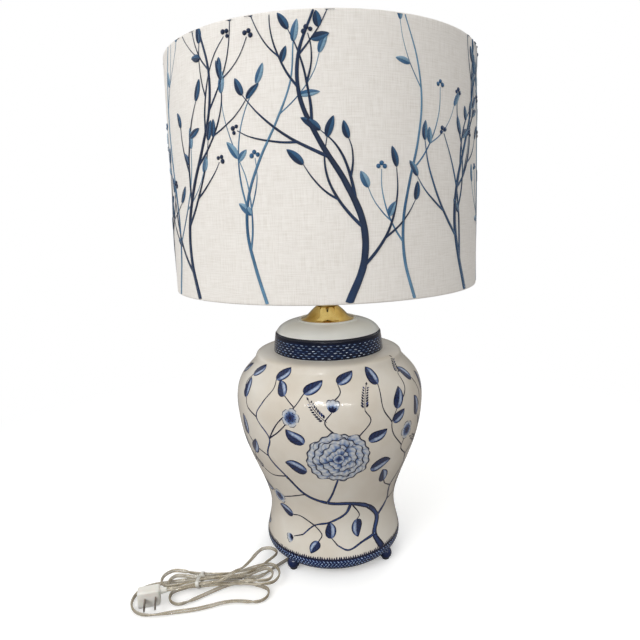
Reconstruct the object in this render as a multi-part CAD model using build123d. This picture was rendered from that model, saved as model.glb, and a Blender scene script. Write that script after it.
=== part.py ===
"""Ginger jar table lamp: glazed jar on bun feet, lid, brass cap, harp and drum shade.

Millimetres. Origin on the table under the lamp's axis, +Z up, -Y towards the viewer.
The stack is worked out from the feet upwards, and the shade hangs from the harp's top.
"""
from build123d import *
from math import acos, cos, degrees, hypot, pi, radians, sin, sqrt, tan
import os

os.makedirs("parts", exist_ok=True)

# ------------------------------------------------------------------ clearances
clear = 0.3            # air between pieces that only sit near each other
running = 0.05         # radial clearance of a piece that turns or slides in a hole

# ------------------------------------------------------------------ jar
foot_height = 8.0      # air under the jar between its feet
foot_radius = 8.6      # bun foot
foot_circle = 91.0     # radius of the circle of feet
foot_turn = -38.0      # first foot, degrees from the front
foot_count = 4
pad_radius = 5.0
pad_thickness = 1.2
jar_wall = 6.0
rim_radius = 87.0      # where the rounded foot ring meets the underside
band_radius = 97.2     # widest point of the foot ring
band_rise = 13.0       # its height above the underside
collar_radius = 96.3   # top edge of the foot ring's painted band
collar_rise = 19.6
waist_radius = 90.2
waist_rise = 60.0
flank_radius = 105.5
flank_rise = 116.0
chest_radius = 124.8
chest_rise = 168.0
belly_radius = 131.4
belly_rise = 208.0
shoulder_radius = 122.0
shoulder_rise = 253.0
brow_radius = 104.2
brow_rise = 274.0
ledge_radius = 82.0    # the flat ring on the shoulder that carries the lid
ledge_rise = 283.0
neck_radius = 70.0
neck_height = 16.0
recess_radius = 78.0   # hollow under the jar that hides the clamping nut
recess_depth = 26.0
floor_thickness = 7.0

# ------------------------------------------------------------------ lid and brass cap
skirt_radius = 77.8    # at the skirt's lower edge
skirt_top_radius = 74.8
skirt_height = 23.7
skirt_gap = 1.5        # between the lid's skirt and the jar's neck
lid_wall = 5.0
dome_rise = 17.6       # lid's crown above the skirt's top edge
dome_radius = 61.5     # a point on the dome between skirt and crown
dome_share = 0.71      # how far up the dome that point is
ring_radius = 41.5     # raised ring of glaze round the brass cap
ring_height = 1.6
cap_radius = 37.6
cap_height = 19.6
cap_sheet = 0.8
cap_crown_radius = 13.0

# ------------------------------------------------------------------ rod and clamping pieces
rod_radius = 4.85
rod_bore_radius = 3.6
rod_below_nut = 1.5
rod_into_socket = 6.0
nut_flats = 15.0
nut_height = 4.0
lock_washer_radius = 8.0
lock_washer_thickness = 1.0
washer_radius = 19.0
washer_thickness = 1.5
base_pad_radius = 17.0
base_pad_thickness = 1.5
check_ring_radius = 14.5
check_ring_height = 3.0
neck_tube_radius = 8.0
neck_tube_height = 26.0
saddle_nut_flats = 14.0
saddle_nut_height = 3.0
bushing_flange_radius = 5.6
bushing_flange_height = 1.5
bushing_barrel_height = 5.0

# ------------------------------------------------------------------ harp
harp_wire = 1.7        # radius of the wire
harp_half_span = 29.0  # legs, from the axis
harp_belly_half = 56.0
harp_height = 262.0    # from the saddle to the shade's seat
harp_leg = 46.0        # straight stretch above the saddle
harp_shoulder_half = 24.0
saddle_width = 12.0
saddle_thickness = 1.6
ear_radius = 2.9
ear_height = 11.0
sleeve_radius = 4.3
sleeve_height = 19.0
sleeve_top = 5.0       # the narrow part of the sleeve that rides on the wire
eyelet_radius = 6.0
eyelet_height = 5.0
stud_shank_radius = 2.4
stud_head_radius = 4.4
stud_head_height = 1.8
seat_radius = 8.0
seat_height = 1.6
stud_radius = 3.1
stud_height = 13.0

# ------------------------------------------------------------------ socket and switch
socket_hub_radius = 7.6
socket_hub_height = 7.0
cup_radius = 17.3
cup_height = 20.0
socket_sheet = 0.6
shell_overlap = 8.0    # how far the shell sits inside the cup
shell_height = 46.0
shell_lip = 1.2
liner_sheet = 0.8
block_height = 23.0
block_rise = 6.0       # switch block above the cup's floor
screw_shell_height = 24.0
screw_shell_sheet = 0.45
shaft_radius = 1.9
shaft_rise = 24.5      # shaft's height above the cup's floor
knob_radius = 5.6
knob_length = 12.0
knob_flutes = 12
knob_stand_off = 4.0   # knob in front of the socket's shell
terminal_head_radius = 2.6
terminal_head_height = 1.6
wire_radius = 0.9

# ------------------------------------------------------------------ bulb
bulb_cap_radius = 13.1
bulb_cap_height = 23.0
bulb_cap_sheet = 0.4
bulb_radius = 30.0
bulb_height = 84.0     # glass above the screw cap
bulb_glass = 0.9
bulb_tip_radius = 4.4
bulb_tip_height = 1.4
bulb_insulator_height = 3.0

# ------------------------------------------------------------------ shade and finial
shade_radius = 203.2
shade_height = 292.7
spider_drop = 28.0     # shade's top edge above the spider's washer
cover_sheet = 0.8
liner_thickness = 0.7
shade_wire = 1.5       # radius of the edge rings and the spider's arms
hem_height = 7.0
spider_arms = 3
spider_turn = -90.0    # first arm, degrees from +X
hub_radius = 15.0
hub_thickness = 1.6
arm_flat = 34.0        # radius at which an arm starts to climb
finial_radius = 8.8
finial_base_radius = 6.6
finial_base_height = 3.0
finial_height = 24.0

# ------------------------------------------------------------------ cord and plug
cord_width = 5.0       # the flat twin lead, across its two cores
cord_lift = 1.9        # air under the hank, for the tie that passes below it
layer_step = 5.6       # height of one layer of the hank over the next
run_step = 6.6         # spacing of the runs where the hank is drawn in
hank_x = -118.0        # the hank's waist on the table
hank_y = -104.0
tie_width = 5.0
tie_sheet = 0.5
tie_slack = 1.2        # the strip lies this loosely round the strands
tie_x = -58.0          # from the hank's waist
plug_width = 27.0      # along the lead, which enters at one end
plug_depth = 15.0      # front to back, the way the blades point
plug_height = 21.0
plug_round = 2.6
plug_x = -115.8        # from the hank's waist
plug_y = -30.5
plug_turn = 14.0       # the blades point this far right of the viewer
plug_lead_z = 15.0     # the lead enters the upper part of the plug's end
relief_length = 8.0
relief_radius = 4.2
blade_length = 17.0
blade_height = 6.3
blade_sheet = 1.5
blade_pitch = 12.7
blade_z = 10.6         # above the strand of the hank that runs below them
blade_shift = 2.0      # the pair stands off the plug's middle, away from the lead's strands

# ------------------------------------------------------------------ heights up the stack
underside = foot_height
floor_low = underside + recess_depth
floor_high = floor_low + floor_thickness
ledge_z = underside + ledge_rise
neck_top = ledge_z + neck_height
skirt_top = ledge_z + skirt_height
crown_z = skirt_top + dome_rise
cap_top = crown_z + cap_height
check_top = cap_top + check_ring_height
tube_top = check_top + neck_tube_height
saddle_low = tube_top + saddle_nut_height
saddle_top = saddle_low + saddle_thickness
socket_floor = saddle_top + socket_hub_height
cup_top = socket_floor + cup_height
shell_low = cup_top - shell_overlap
shell_top = shell_low + shell_height
block_low = socket_floor + block_rise
block_top = block_low + block_height
shaft_z = socket_floor + shaft_rise
base_pad_low = floor_low - base_pad_thickness
washer_low = base_pad_low - washer_thickness
lock_low = washer_low - lock_washer_thickness
nut_low = lock_low - nut_height
rod_low = nut_low - rod_below_nut
rod_top = saddle_top + rod_into_socket
exit_z = rod_low - bushing_flange_height
ear_top = saddle_top + ear_height
seat_z = saddle_top + harp_height
hub_low = seat_z + clear
hub_top = hub_low + hub_thickness
shade_top = hub_top + spider_drop
shade_low = shade_top - shade_height

shell_radius = cup_radius - socket_sheet - running
liner_radius = shell_radius - socket_sheet - running
block_radius = liner_radius - liner_sheet - 2 * running
screw_shell_bore = bulb_cap_radius + clear
cord_radius = cord_width / 2


# ------------------------------------------------------------------ helpers
def ring(outer, inner, low, height):
    """A flat ring or tube standing at height low."""
    body = Pos(0, 0, low + height / 2) * Cylinder(outer, height)
    return body - Pos(0, 0, low + height / 2) * Cylinder(inner, height + 2)


def hexagon(flats, hole, low, height):
    """A hexagonal nut with a round hole."""
    outline = RegularPolygon(flats / 2, 6, major_radius=False) - Circle(hole)
    return Pos(0, 0, low) * extrude(outline, height)


def turned(edges):
    """The solid that a closed outline in the XZ plane makes round the Z axis."""
    return revolve(make_face(Wire(edges)), Axis.Z)


def polyline_turned(*points):
    return turned(Polyline(*[(r, 0, z) for r, z in points], close=True).edges())


def tube_along(path, radius):
    """A round bar swept along a path, square to its start."""
    start = path.position_at(0)
    heading = path.tangent_at(0)
    return sweep(Plane(start, z_dir=heading) * Circle(radius), path=path)


def corner_radii(points, share=0.45):
    """The largest arc at each corner: a share of the shorter run beside it."""
    found = []
    for before, here, after in zip(points, points[1:], points[2:]):
        run_in = Vector(*here) - Vector(*before)
        run_out = Vector(*after) - Vector(*here)
        turn = radians(run_in.get_angle(run_out))
        shorter = min(run_in.length, run_out.length)
        found.append(share * shorter / tan(turn / 2))
    return found


def save(shape, node):
    export_step(shape, f"parts/{node}.step")


# ------------------------------------------------------------------ jar
def jar_outline():
    """Right-hand outline of the jar, from the underside to the neck's top."""
    edge = (rim_radius, 0, underside)
    band = (band_radius, 0, underside + band_rise)
    collar = (collar_radius, 0, underside + collar_rise)
    side = [collar,
            (waist_radius, 0, underside + waist_rise),
            (flank_radius, 0, underside + flank_rise),
            (chest_radius, 0, underside + chest_rise),
            (belly_radius, 0, underside + belly_rise),
            (shoulder_radius, 0, underside + shoulder_rise),
            (brow_radius, 0, underside + brow_rise),
            (ledge_radius, 0, ledge_z)]
    foot_round = TangentArc(band, edge, tangent=(0, 0, -1))
    band_round = TangentArc(band, collar, tangent=(0, 0, 1))
    wall = Spline(*side, tangents=[(-0.22, 0, 1), (-1, 0, 0.02)])
    return foot_round, band_round, wall


def make_jar():
    foot_round, band_round, wall = jar_outline()
    low = underside
    closing = Polyline((ledge_radius, 0, ledge_z), (neck_radius, 0, ledge_z),
                       (neck_radius, 0, neck_top), (0, 0, neck_top), (0, 0, low),
                       (rim_radius, 0, low))
    solid = turned([*foot_round.edges(), *band_round.edges(), *wall.edges(), *closing.edges()])
    inside = [(collar_radius - jar_wall, 0, floor_high),
              (waist_radius - jar_wall, 0, underside + waist_rise),
              (flank_radius - jar_wall, 0, underside + flank_rise),
              (chest_radius - jar_wall, 0, underside + chest_rise),
              (belly_radius - jar_wall, 0, underside + belly_rise),
              (shoulder_radius - jar_wall, 0, underside + shoulder_rise - 0.6 * jar_wall),
              (brow_radius - jar_wall, 0, underside + brow_rise - 1.1 * jar_wall),
              (neck_radius - jar_wall, 0, ledge_z - 1.6 * jar_wall)]
    hollow_wall = Spline(*inside, tangents=[(-0.22, 0, 1), (-1, 0, 0.02)])
    hollow_ends = Polyline((neck_radius - jar_wall, 0, ledge_z - 1.6 * jar_wall),
                           (0, 0, ledge_z - 1.6 * jar_wall), (0, 0, floor_high),
                           (collar_radius - jar_wall, 0, floor_high))
    solid -= turned([*hollow_wall.edges(), *hollow_ends.edges()])
    mouth_low = ledge_z - 3 * jar_wall
    mouth_height = neck_top - mouth_low + 1
    solid -= Pos(0, 0, mouth_low + mouth_height / 2) * Cylinder(neck_radius - jar_wall, mouth_height)
    solid -= Pos(0, 0, underside + recess_depth / 2 - 1) * Cylinder(recess_radius, recess_depth + 2)
    solid -= Pos(0, 0, floor_low + floor_thickness / 2) * Cylinder(rod_radius + clear, floor_thickness + 2)
    for foot in foot_places():
        bun = foot * Pos(0, 0, foot_radius) * Sphere(foot_radius)
        slab = foot * Pos(0, 0, pad_thickness / 2) * Box(4 * foot_radius, 4 * foot_radius, pad_thickness)
        solid += bun - slab
    return solid


def foot_places():
    """The bun feet's centres on the table."""
    return [Rot(0, 0, -90 + foot_turn + i * 360 / foot_count) * Pos(foot_circle, 0, 0)
            for i in range(foot_count)]


def make_pads():
    return [foot * Pos(0, 0, pad_thickness / 2) * Cylinder(pad_radius, pad_thickness)
            for foot in foot_places()]


def make_lid():
    edge_round = 1.2
    outer_low = (skirt_radius, 0, ledge_z)
    outer_top = (skirt_top_radius, 0, skirt_top)
    dome = Spline((skirt_top_radius - edge_round, 0, skirt_top + edge_round),
                  (dome_radius, 0, skirt_top + dome_share * dome_rise),
                  (ring_radius + 1.5, 0, crown_z - 0.4),
                  tangents=[(-0.45, 0, 1), (-1, 0, 0.12)])
    shoulder = Line(outer_top, (skirt_top_radius - edge_round, 0, skirt_top + edge_round))
    bead = ThreePointArc((ring_radius + 1.5, 0, crown_z - 0.4),
                         (ring_radius - 0.4, 0, crown_z + ring_height),
                         (ring_radius - 2.3, 0, crown_z))
    inner_radius = neck_radius + skirt_gap
    under = Polyline((ring_radius - 2.3, 0, crown_z), (rod_radius + clear, 0, crown_z),
                     (rod_radius + clear, 0, crown_z - lid_wall),
                     (ring_radius, 0, crown_z - lid_wall),
                     (inner_radius - 8, 0, skirt_top + 0.3 * dome_rise),
                     (inner_radius - 8, 0, neck_top + clear),
                     (inner_radius, 0, neck_top + clear),
                     (inner_radius, 0, ledge_z), outer_low, outer_top)
    return turned([*shoulder.edges(), *dome.edges(), *bead.edges(), *under.edges()])


def make_vase_cap():
    """Spun brass cap: a dish that sweeps up into a narrow crown."""
    rise = cap_height - cap_sheet
    run = cap_radius - cap_crown_radius
    outline = [(cap_radius, 0.0), (cap_radius - 0.41 * run, 0.34 * rise),
               (cap_radius - 0.64 * run, 0.66 * rise), (cap_crown_radius + 3, rise - 1.2)]
    upper = Spline(*[(r, 0, crown_z + cap_sheet + z) for r, z in outline],
                   tangents=[(-1, 0, 0.12), (-0.9, 0, 0.75)])
    lower = Spline(*[(r - cap_sheet, 0, crown_z + z) for r, z in outline],
                   tangents=[(-1, 0, 0.12), (-0.9, 0, 0.75)])
    hole = rod_radius + running
    top_inner = (cap_crown_radius + 3 - cap_sheet, 0, crown_z + rise - 1.2)
    rim = Line((cap_radius - cap_sheet, 0, crown_z), (cap_radius, 0, crown_z + cap_sheet))
    crown = Polyline((cap_crown_radius + 3, 0, crown_z + cap_sheet + rise - 1.2),
                     (cap_crown_radius, 0, cap_top), (hole, 0, cap_top),
                     (hole, 0, cap_top - cap_sheet), (cap_crown_radius - cap_sheet, 0, cap_top - cap_sheet),
                     top_inner)
    return turned([*upper.edges(), *crown.edges(), *lower.edges(), *rim.edges()])


# ------------------------------------------------------------------ harp, saddle, stud
def make_saddle():
    plate = Pos(0, 0, saddle_low + saddle_thickness / 2) * Box(
        2 * (harp_half_span + ear_radius), saddle_width, saddle_thickness)
    plate -= Pos(0, 0, saddle_low) * Cylinder(rod_radius + running, 4 * saddle_thickness)
    for side in (-1, 1):
        ear = Pos(side * harp_half_span, 0, 0) * ring(
            ear_radius, harp_wire + running, saddle_top, ear_height)
        plate += ear
    return plate


def make_harp():
    low = saddle_top + clear
    top = seat_z - seat_height - clear - eyelet_height / 2
    rise = top - low
    right = [(harp_half_span, 0, low), (harp_half_span, 0, low + harp_leg),
             (harp_belly_half, 0, low + harp_leg + 0.22 * rise),
             (harp_belly_half, 0, low + harp_leg + 0.50 * rise),
             (harp_shoulder_half, 0, top)]
    points = right + [(-x, y, z) for x, y, z in reversed(right)]
    path = FilletPolyline(*points, radius=[30, 34, 60, 17, 17, 60, 34, 30])
    wire = tube_along(path, harp_wire)
    eyelet = Pos(0, 0, top) * Cylinder(eyelet_radius, eyelet_height)
    return wire + eyelet - Pos(0, 0, top) * Cylinder(stud_shank_radius + running, 3 * eyelet_height)


def make_sleeve(side):
    low = saddle_top + clear
    outer = Pos(side * harp_half_span, 0, 0) * ring(
        sleeve_radius, harp_wire + running, low, sleeve_height)
    wide = sleeve_height - sleeve_top
    pocket = Pos(side * harp_half_span, 0, low + wide / 2 - 0.5) * Cylinder(ear_radius + clear, wide + 1)
    return outer - pocket


def make_stud():
    eyelet_low = seat_z - seat_height - clear - eyelet_height
    head_low = eyelet_low - clear - stud_head_height
    shank = seat_z - seat_height - head_low
    body = Pos(0, 0, head_low + stud_head_height / 2) * Cylinder(stud_head_radius, stud_head_height)
    body += Pos(0, 0, head_low + shank / 2) * Cylinder(stud_shank_radius, shank)
    body += Pos(0, 0, seat_z - seat_height / 2) * Cylinder(seat_radius, seat_height)
    body += Pos(0, 0, seat_z + stud_height / 2) * Cylinder(stud_radius, stud_height)
    return body


# ------------------------------------------------------------------ socket, switch, bulb
def make_socket_cap():
    hub = ring(socket_hub_radius, rod_radius + running, saddle_top, socket_hub_height)
    floor = ring(cup_radius - 2.5, rod_radius + running, socket_floor, socket_sheet)
    flare = polyline_turned((cup_radius - 2.5, socket_floor), (cup_radius, socket_floor + 3),
                            (cup_radius, cup_top), (cup_radius - socket_sheet, cup_top),
                            (cup_radius - socket_sheet, socket_floor + 3),
                            (cup_radius - 2.5, socket_floor + socket_sheet))
    return hub + floor + flare


def shaft_hole(radius, length):
    """A bar along -Y at the switch shaft's height, for cutting its way out."""
    return Pos(0, -length / 2, shaft_z) * Rot(90, 0, 0) * Cylinder(radius, length)


def make_socket_shell():
    wall = polyline_turned((shell_radius, shell_low), (shell_radius, shell_top - shell_lip),
                           (shell_radius + shell_lip / 2, shell_top),
                           (shell_radius - socket_sheet, shell_top),
                           (shell_radius - socket_sheet, shell_low))
    return wall


def make_socket_liner():
    return ring(liner_radius, liner_radius - liner_sheet, block_low + 1, shell_top - 4 - block_low - 1)


def make_switch_block():
    block = Pos(0, 0, (block_low + block_top) / 2) * Cylinder(block_radius, block_height)
    block -= Pos(0, -(block_radius + 1) / 2, shaft_z) * Rot(90, 0, 0) * Cylinder(
        shaft_radius + running, block_radius + 1)
    pocket = terminal_head_height + 1.2
    for side in (-1, 1):
        block -= Pos(side * (block_radius - pocket / 2 + 1), 0, terminal_z()) * Rot(0, 90, 0) * Cylinder(
            terminal_head_radius + 1, pocket + 2)
    return block


def terminal_z():
    return block_low + 0.5 * block_height


def make_terminal_screws():
    screws = []
    pocket = terminal_head_height + 1.2
    seat = block_radius - pocket
    for side in (-1, 1):
        head = Pos(side * (seat + terminal_head_height / 2), 0, terminal_z()) * Rot(0, 90, 0) * Cylinder(
            terminal_head_radius, terminal_head_height)
        slot = Pos(side * (seat + terminal_head_height), 0, terminal_z()) * Box(0.8, 6, 0.7)
        screws.append(head - slot)
    return screws


def make_socket_leads():
    """The two cores, from the rod's end to the underside of the switch block."""
    leads = []
    core = cord_radius / 2
    for side in (-1, 1):
        points = [(side * core, 0, rod_top), (side * core, 0, rod_top + 0.5 * (block_low - rod_top)),
                  (side * 0.5 * block_radius, 0, rod_top + 0.8 * (block_low - rod_top)),
                  (side * 0.5 * block_radius, 0, block_low)]
        path = FilletPolyline(*points, radius=[1.0, 1.0])
        leads.append(tube_along(path, wire_radius))
    return leads


def make_screw_shell():
    shell = ring(screw_shell_bore + screw_shell_sheet, screw_shell_bore, block_top, screw_shell_height)
    floor = ring(screw_shell_bore + screw_shell_sheet, bulb_tip_radius + 3, block_top, screw_shell_sheet)
    return shell + floor


def bulb_low():
    """Lowest point of the bulb's contact when it is screwed home."""
    return block_top + 3.0


def make_centre_contact():
    """A sprung brass tab on the switch block, under the bulb's contact."""
    pad = Pos(0, 0, block_top + 0.4) * Box(9, 4, 0.8)
    finger = Pos(-2.5, 0, block_top + 1.4) * Rot(0, -28, 0) * Box(4.4, 4, 0.6)
    return pad + finger


def make_set_screw():
    """The small screw that locks the socket cap's hub on the rod."""
    length = socket_hub_radius - rod_radius + 1.5
    start = rod_radius + 2 * running
    body = Pos(0, start + length / 2, saddle_top + socket_hub_height / 2) * Rot(90, 0, 0) * Cylinder(1.5, length)
    slot = Pos(0, start + length, saddle_top + socket_hub_height / 2) * Box(4, 1, 0.5)
    return body - slot


def set_screw_hole():
    return Pos(0, rod_radius + 5, saddle_top + socket_hub_height / 2) * Rot(90, 0, 0) * Cylinder(
        1.5 + running, 10)


def knob_start():
    return cup_radius + knob_stand_off


def make_shaft():
    inner = 5.0
    length = knob_start() + 0.7 * knob_length - inner
    return Pos(0, -(inner + length / 2), shaft_z) * Rot(90, 0, 0) * Cylinder(shaft_radius, length)


def make_knob():
    centre = knob_start() + knob_length / 2
    body = Pos(0, -centre, shaft_z) * Rot(90, 0, 0) * Cylinder(knob_radius, knob_length)
    for i in range(knob_flutes):
        angle = 2 * pi * i / knob_flutes
        x = (knob_radius + 0.35) * cos(angle)
        z = (knob_radius + 0.35) * sin(angle)
        body -= Pos(x, -centre, shaft_z + z) * Rot(90, 0, 0) * Cylinder(0.9, knob_length + 1)
    bore = 0.7 * knob_length
    return body - Pos(0, -(knob_start() + bore / 2), shaft_z) * Rot(90, 0, 0) * Cylinder(shaft_radius, bore)


def make_bulb():
    """Glass, screw cap, insulator and contact, from the top of the glass down."""
    low = bulb_low()
    tip_top = low + bulb_tip_height
    cap_low = tip_top + bulb_insulator_height
    cap_high = cap_low + bulb_cap_height
    top = cap_high + bulb_height
    globe_z = top - bulb_radius
    neck = bulb_cap_radius - bulb_cap_sheet - running
    join = globe_z - 0.62 * bulb_radius
    join_radius = sqrt(bulb_radius ** 2 - (globe_z - join) ** 2)

    def filled(inset):
        side = Spline((neck - inset, 0, cap_high), (join_radius - inset, 0, join + inset / 2),
                      tangents=[(0.05, 0, 1), (0.62, 0, 0.785)])
        closing = Polyline((join_radius - inset, 0, join + inset / 2), (0, 0, join + inset / 2),
                           (0, 0, cap_high - 8), (neck - inset, 0, cap_high - 8),
                           (neck - inset, 0, cap_high))
        below = turned([*side.edges(), *closing.edges()])
        return below + Pos(0, 0, globe_z) * Sphere(bulb_radius - inset)

    glass = filled(0) - filled(bulb_glass)
    cap = ring(bulb_cap_radius, bulb_cap_radius - bulb_cap_sheet, cap_low, bulb_cap_height)
    insulator = polyline_turned((0, tip_top), (bulb_tip_radius + 1, tip_top), (bulb_cap_radius, cap_low),
                                (bulb_cap_radius - bulb_cap_sheet - running, cap_low),
                                (bulb_cap_radius - bulb_cap_sheet - running, cap_low + 1.5), (0, cap_low + 1.5))
    contact = Pos(0, 0, low + bulb_tip_height / 2) * Cylinder(bulb_tip_radius, bulb_tip_height)
    return glass, cap, insulator, contact


# ------------------------------------------------------------------ shade and finial
edge_outer = shade_radius - cover_sheet
edge_inner = edge_outer - liner_thickness
wire_circle = edge_inner - shade_wire
hem_inner = edge_inner - 2 * shade_wire - cover_sheet


def arm_path(angle):
    """One spider arm, from the washer out and up to the top ring."""
    place = Rot(0, 0, angle)
    ring_z = shade_top - cover_sheet - shade_wire
    flat_z = hub_low + shade_wire
    points = [(hub_radius - 4, 0, flat_z), (arm_flat, 0, flat_z), (wire_circle, 0, ring_z)]
    moved = [(place * Pos(*p)).position for p in points]
    return FilletPolyline(*moved, radius=[12])


def arm_angles():
    return [spider_turn + i * 360 / spider_arms for i in range(spider_arms)]


def make_spider():
    """Top ring, arms and centre washer of the shade, welded into one frame."""
    ring_z = shade_top - cover_sheet - shade_wire
    frame = Pos(0, 0, ring_z) * Torus(wire_circle, shade_wire)
    for angle in arm_angles():
        frame += tube_along(arm_path(angle), shade_wire)
    return frame + ring(hub_radius, stud_radius + clear, hub_low, hub_thickness)


def make_cover():
    """Linen skin, rolled over both edges round the wire rings."""
    low_in = shade_low + cover_sheet
    top_in = shade_top - cover_sheet
    skin = polyline_turned((shade_radius, shade_low), (shade_radius, shade_top),
                           (hem_inner, shade_top), (hem_inner, shade_top - hem_height),
                           (hem_inner + cover_sheet, shade_top - hem_height),
                           (hem_inner + cover_sheet, top_in), (edge_outer, top_in),
                           (edge_outer, low_in), (hem_inner + cover_sheet, low_in),
                           (hem_inner + cover_sheet, shade_low + hem_height),
                           (hem_inner, shade_low + hem_height), (hem_inner, shade_low))
    for angle in arm_angles():
        place = Rot(0, 0, angle) * Pos(hem_inner, 0, shade_top - hem_height / 2 - cover_sheet)
        skin -= place * Box(4, 2 * (shade_wire + clear), hem_height)
    return skin


def make_finial():
    low = hub_top + clear
    ball_z = low + finial_height - finial_radius
    neck_z = low + finial_base_height + 1.5
    shape = Pos(0, 0, low + finial_base_height / 2) * Cylinder(finial_base_radius, finial_base_height)
    shape += Pos(0, 0, (low + ball_z) / 2) * Cylinder(0.55 * finial_radius, ball_z - low)
    shape += Pos(0, 0, neck_z + 1) * Cylinder(0.72 * finial_radius, 1.2)
    shape += Pos(0, 0, ball_z) * Sphere(finial_radius)
    depth = stud_height - (low - seat_z) + 1
    return shape - Pos(0, 0, low + depth / 2 - 0.5) * Cylinder(stud_radius + running, depth + 1)


# ------------------------------------------------------------------ cord, hank, plug
layer = [cord_radius + cord_lift + i * layer_step for i in range(3)]
near = run_step / 2
far = 1.5 * run_step


def station(x, y, z, heading):
    """One point of the hank: its place, and the level heading of the lead there."""
    turn = radians(heading)
    return Vector(hank_x + x, hank_y + y, z), Vector(cos(turn), sin(turn), 0)


def lobe(x, y, radius, heading, heights):
    """The half turn at one end of a loop: out, round its tip and back."""
    turn = radians(heading)
    out = (x + radius * sin(turn), y - radius * cos(turn))
    tip = (x + radius * cos(turn), y + radius * sin(turn))
    back = (x - radius * sin(turn), y + radius * cos(turn))
    return [station(*out, heights[0], heading), station(*tip, heights[1], heading + 90),
            station(*back, heights[2], heading + 180)]


def hank_stations():
    """Loose loops that all turn the same way, drawn in at the waist and fanned at both ends."""
    low, middle, high = layer
    level = [[z] * 3 for z in layer]
    stations = [station(8, far, low, 184), station(-60, far + 0.4, low, 180)]
    stations += lobe(-110, -25, 28.5, 196, level[0])
    stations += [station(-50, -46, low, 14), station(-14, -32, low, 18)]
    stations += lobe(18, -21, 15, -30, level[0])
    stations += [station(-6, near, low, 176), station(-48, near, low, 180)]
    stations += lobe(-77, -21, 15.5, 215, level[0])
    stations += [station(-42, -16, low, 34), station(-22, -near - 0.4, low, 14)]
    stations += [station(4, -near, middle, -2)]
    stations += lobe(22, 7, 13.5, 12, level[1])
    stations += [station(-2, near, middle, 186), station(-60, near, middle, 180)]
    stations += lobe(-86, -2, 13, 180, level[1])
    stations += [station(-50, -far, middle, 0), station(-4, -far, middle, -4)]
    stations += lobe(23, 7.5, 21.5, 12, level[1])
    stations += [station(-18, far + 0.3, middle, 182), station(-60, far, middle, 180)]
    stations += lobe(-88, 1.2, 20.5, 182, [middle, middle, high])
    stations += [station(-46, -near, high, 2), station(0, -near, high, 12)]
    stations += lobe(24, 41, 14.5, 66, [high, high - 2, high])
    stations += [station(-1, 14, high + 1.4, 236), station(-12.5, -near - 0.5, high + 6.2, 228)]
    stations += [station(-28, -13.4, high + 0.9, 196), station(-44, -14.8, high + 0.4, 190)]
    stations += [station(-52, -14.8 - 8 * tan(radians(10)), high + 0.4, 190)]
    return stations


def biarc(start, heading, end, end_heading):
    """Two arcs that leave start along heading and reach end along end_heading."""
    chord = end - start
    both = heading + end_heading
    reach = chord.dot(both)
    spread = 2 * (1 - heading.dot(end_heading))
    if spread < 1e-9:
        size = chord.dot(chord) / (4 * chord.dot(end_heading))
    else:
        size = (-reach + sqrt(reach ** 2 + spread * chord.dot(chord))) / spread
    first = start + heading * size
    second = end - end_heading * size
    middle = (first + second) * 0.5
    middle_heading = (second - first).normalized()
    return [tangent_arc(start, heading, middle), tangent_arc(middle, middle_heading, end)]


def tangent_arc(start, heading, end):
    """The arc from start along heading to end, or a line where they are in line."""
    chord = end - start
    if heading.cross(chord).length < 1e-6 * chord.length:
        return Edge.make_line(start, end)
    return Edge.make_tangent_arc(start, heading, end)


def hank_path():
    edges = []
    stations = hank_stations()
    for (start, heading), (end, end_heading) in zip(stations, stations[1:]):
        edges += biarc(start, heading, end, end_heading)
    return Wire(edges)


# the free lead, from the rod's end down to the table and out between two feet to the hank
lead_points = [(0, 0, exit_z), (0, 0, exit_z - 10.5), (-4.6, -3.9, layer[0] + 1.8),
               (-14, -12, layer[0]), (-29, -25.5, layer[0]), (-52, -46, layer[0]),
               (-76, -68, layer[0]), (-93, -87, layer[0])]
# the lead from the hank's last run down to the plug
tail_points = [(-70.5, -20.6, 15.2), (-80, -23.7, 15.4)]


def plug_place():
    """The plug stands on its lower side, its blades towards the viewer."""
    return Pos(hank_x + plug_x, hank_y + plug_y, plug_height / 2 + clear) * Rot(0, 0, plug_turn)


def relief_place(reach):
    """A point on the lead's axis, this far out from the plug's end."""
    along = Pos(plug_width / 2 + reach, 0, plug_lead_z - plug_height / 2 - clear)
    return (plug_place() * along).position


def lead_path():
    start, heading = hank_stations()[0]
    before = start - heading * 9
    return [*lead_points, (before.X, before.Y, before.Z), (start.X, start.Y, start.Z)]


def tail_path():
    end, heading = hank_stations()[-1]
    first = end + heading * 8
    middle = [(hank_x + x, hank_y + y, z) for x, y, z in tail_points]
    return [(end.X, end.Y, end.Z), (first.X, first.Y, first.Z), *middle,
            tuple(relief_place(relief_length + 7)), tuple(relief_place(relief_length))]


def free_tube(points, name):
    radii = corner_radii(points)
    print(name, "corner radii", [round(r, 1) for r in radii])
    path = FilletPolyline(*points, radius=radii)
    tube = tube_along(path, cord_radius)
    share = tube.volume / (pi * cord_radius ** 2 * path.length)
    print(name, "length", round(path.length, 1), "volume against section times length", round(share, 4))
    return tube, path


def print_least_gap(path, step=1.5, skip=12):
    """Least air between two stretches of the hank that aren't neighbours along it."""
    count = int(path.length / step)
    points = [path.position_at(i / count) for i in range(count + 1)]
    least = min((points[i] - points[j]).length
                for i in range(len(points)) for j in range(i + skip, len(points)))
    print("hank length", round(path.length, 1), "least gap to itself", round(least - cord_width, 2))


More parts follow.
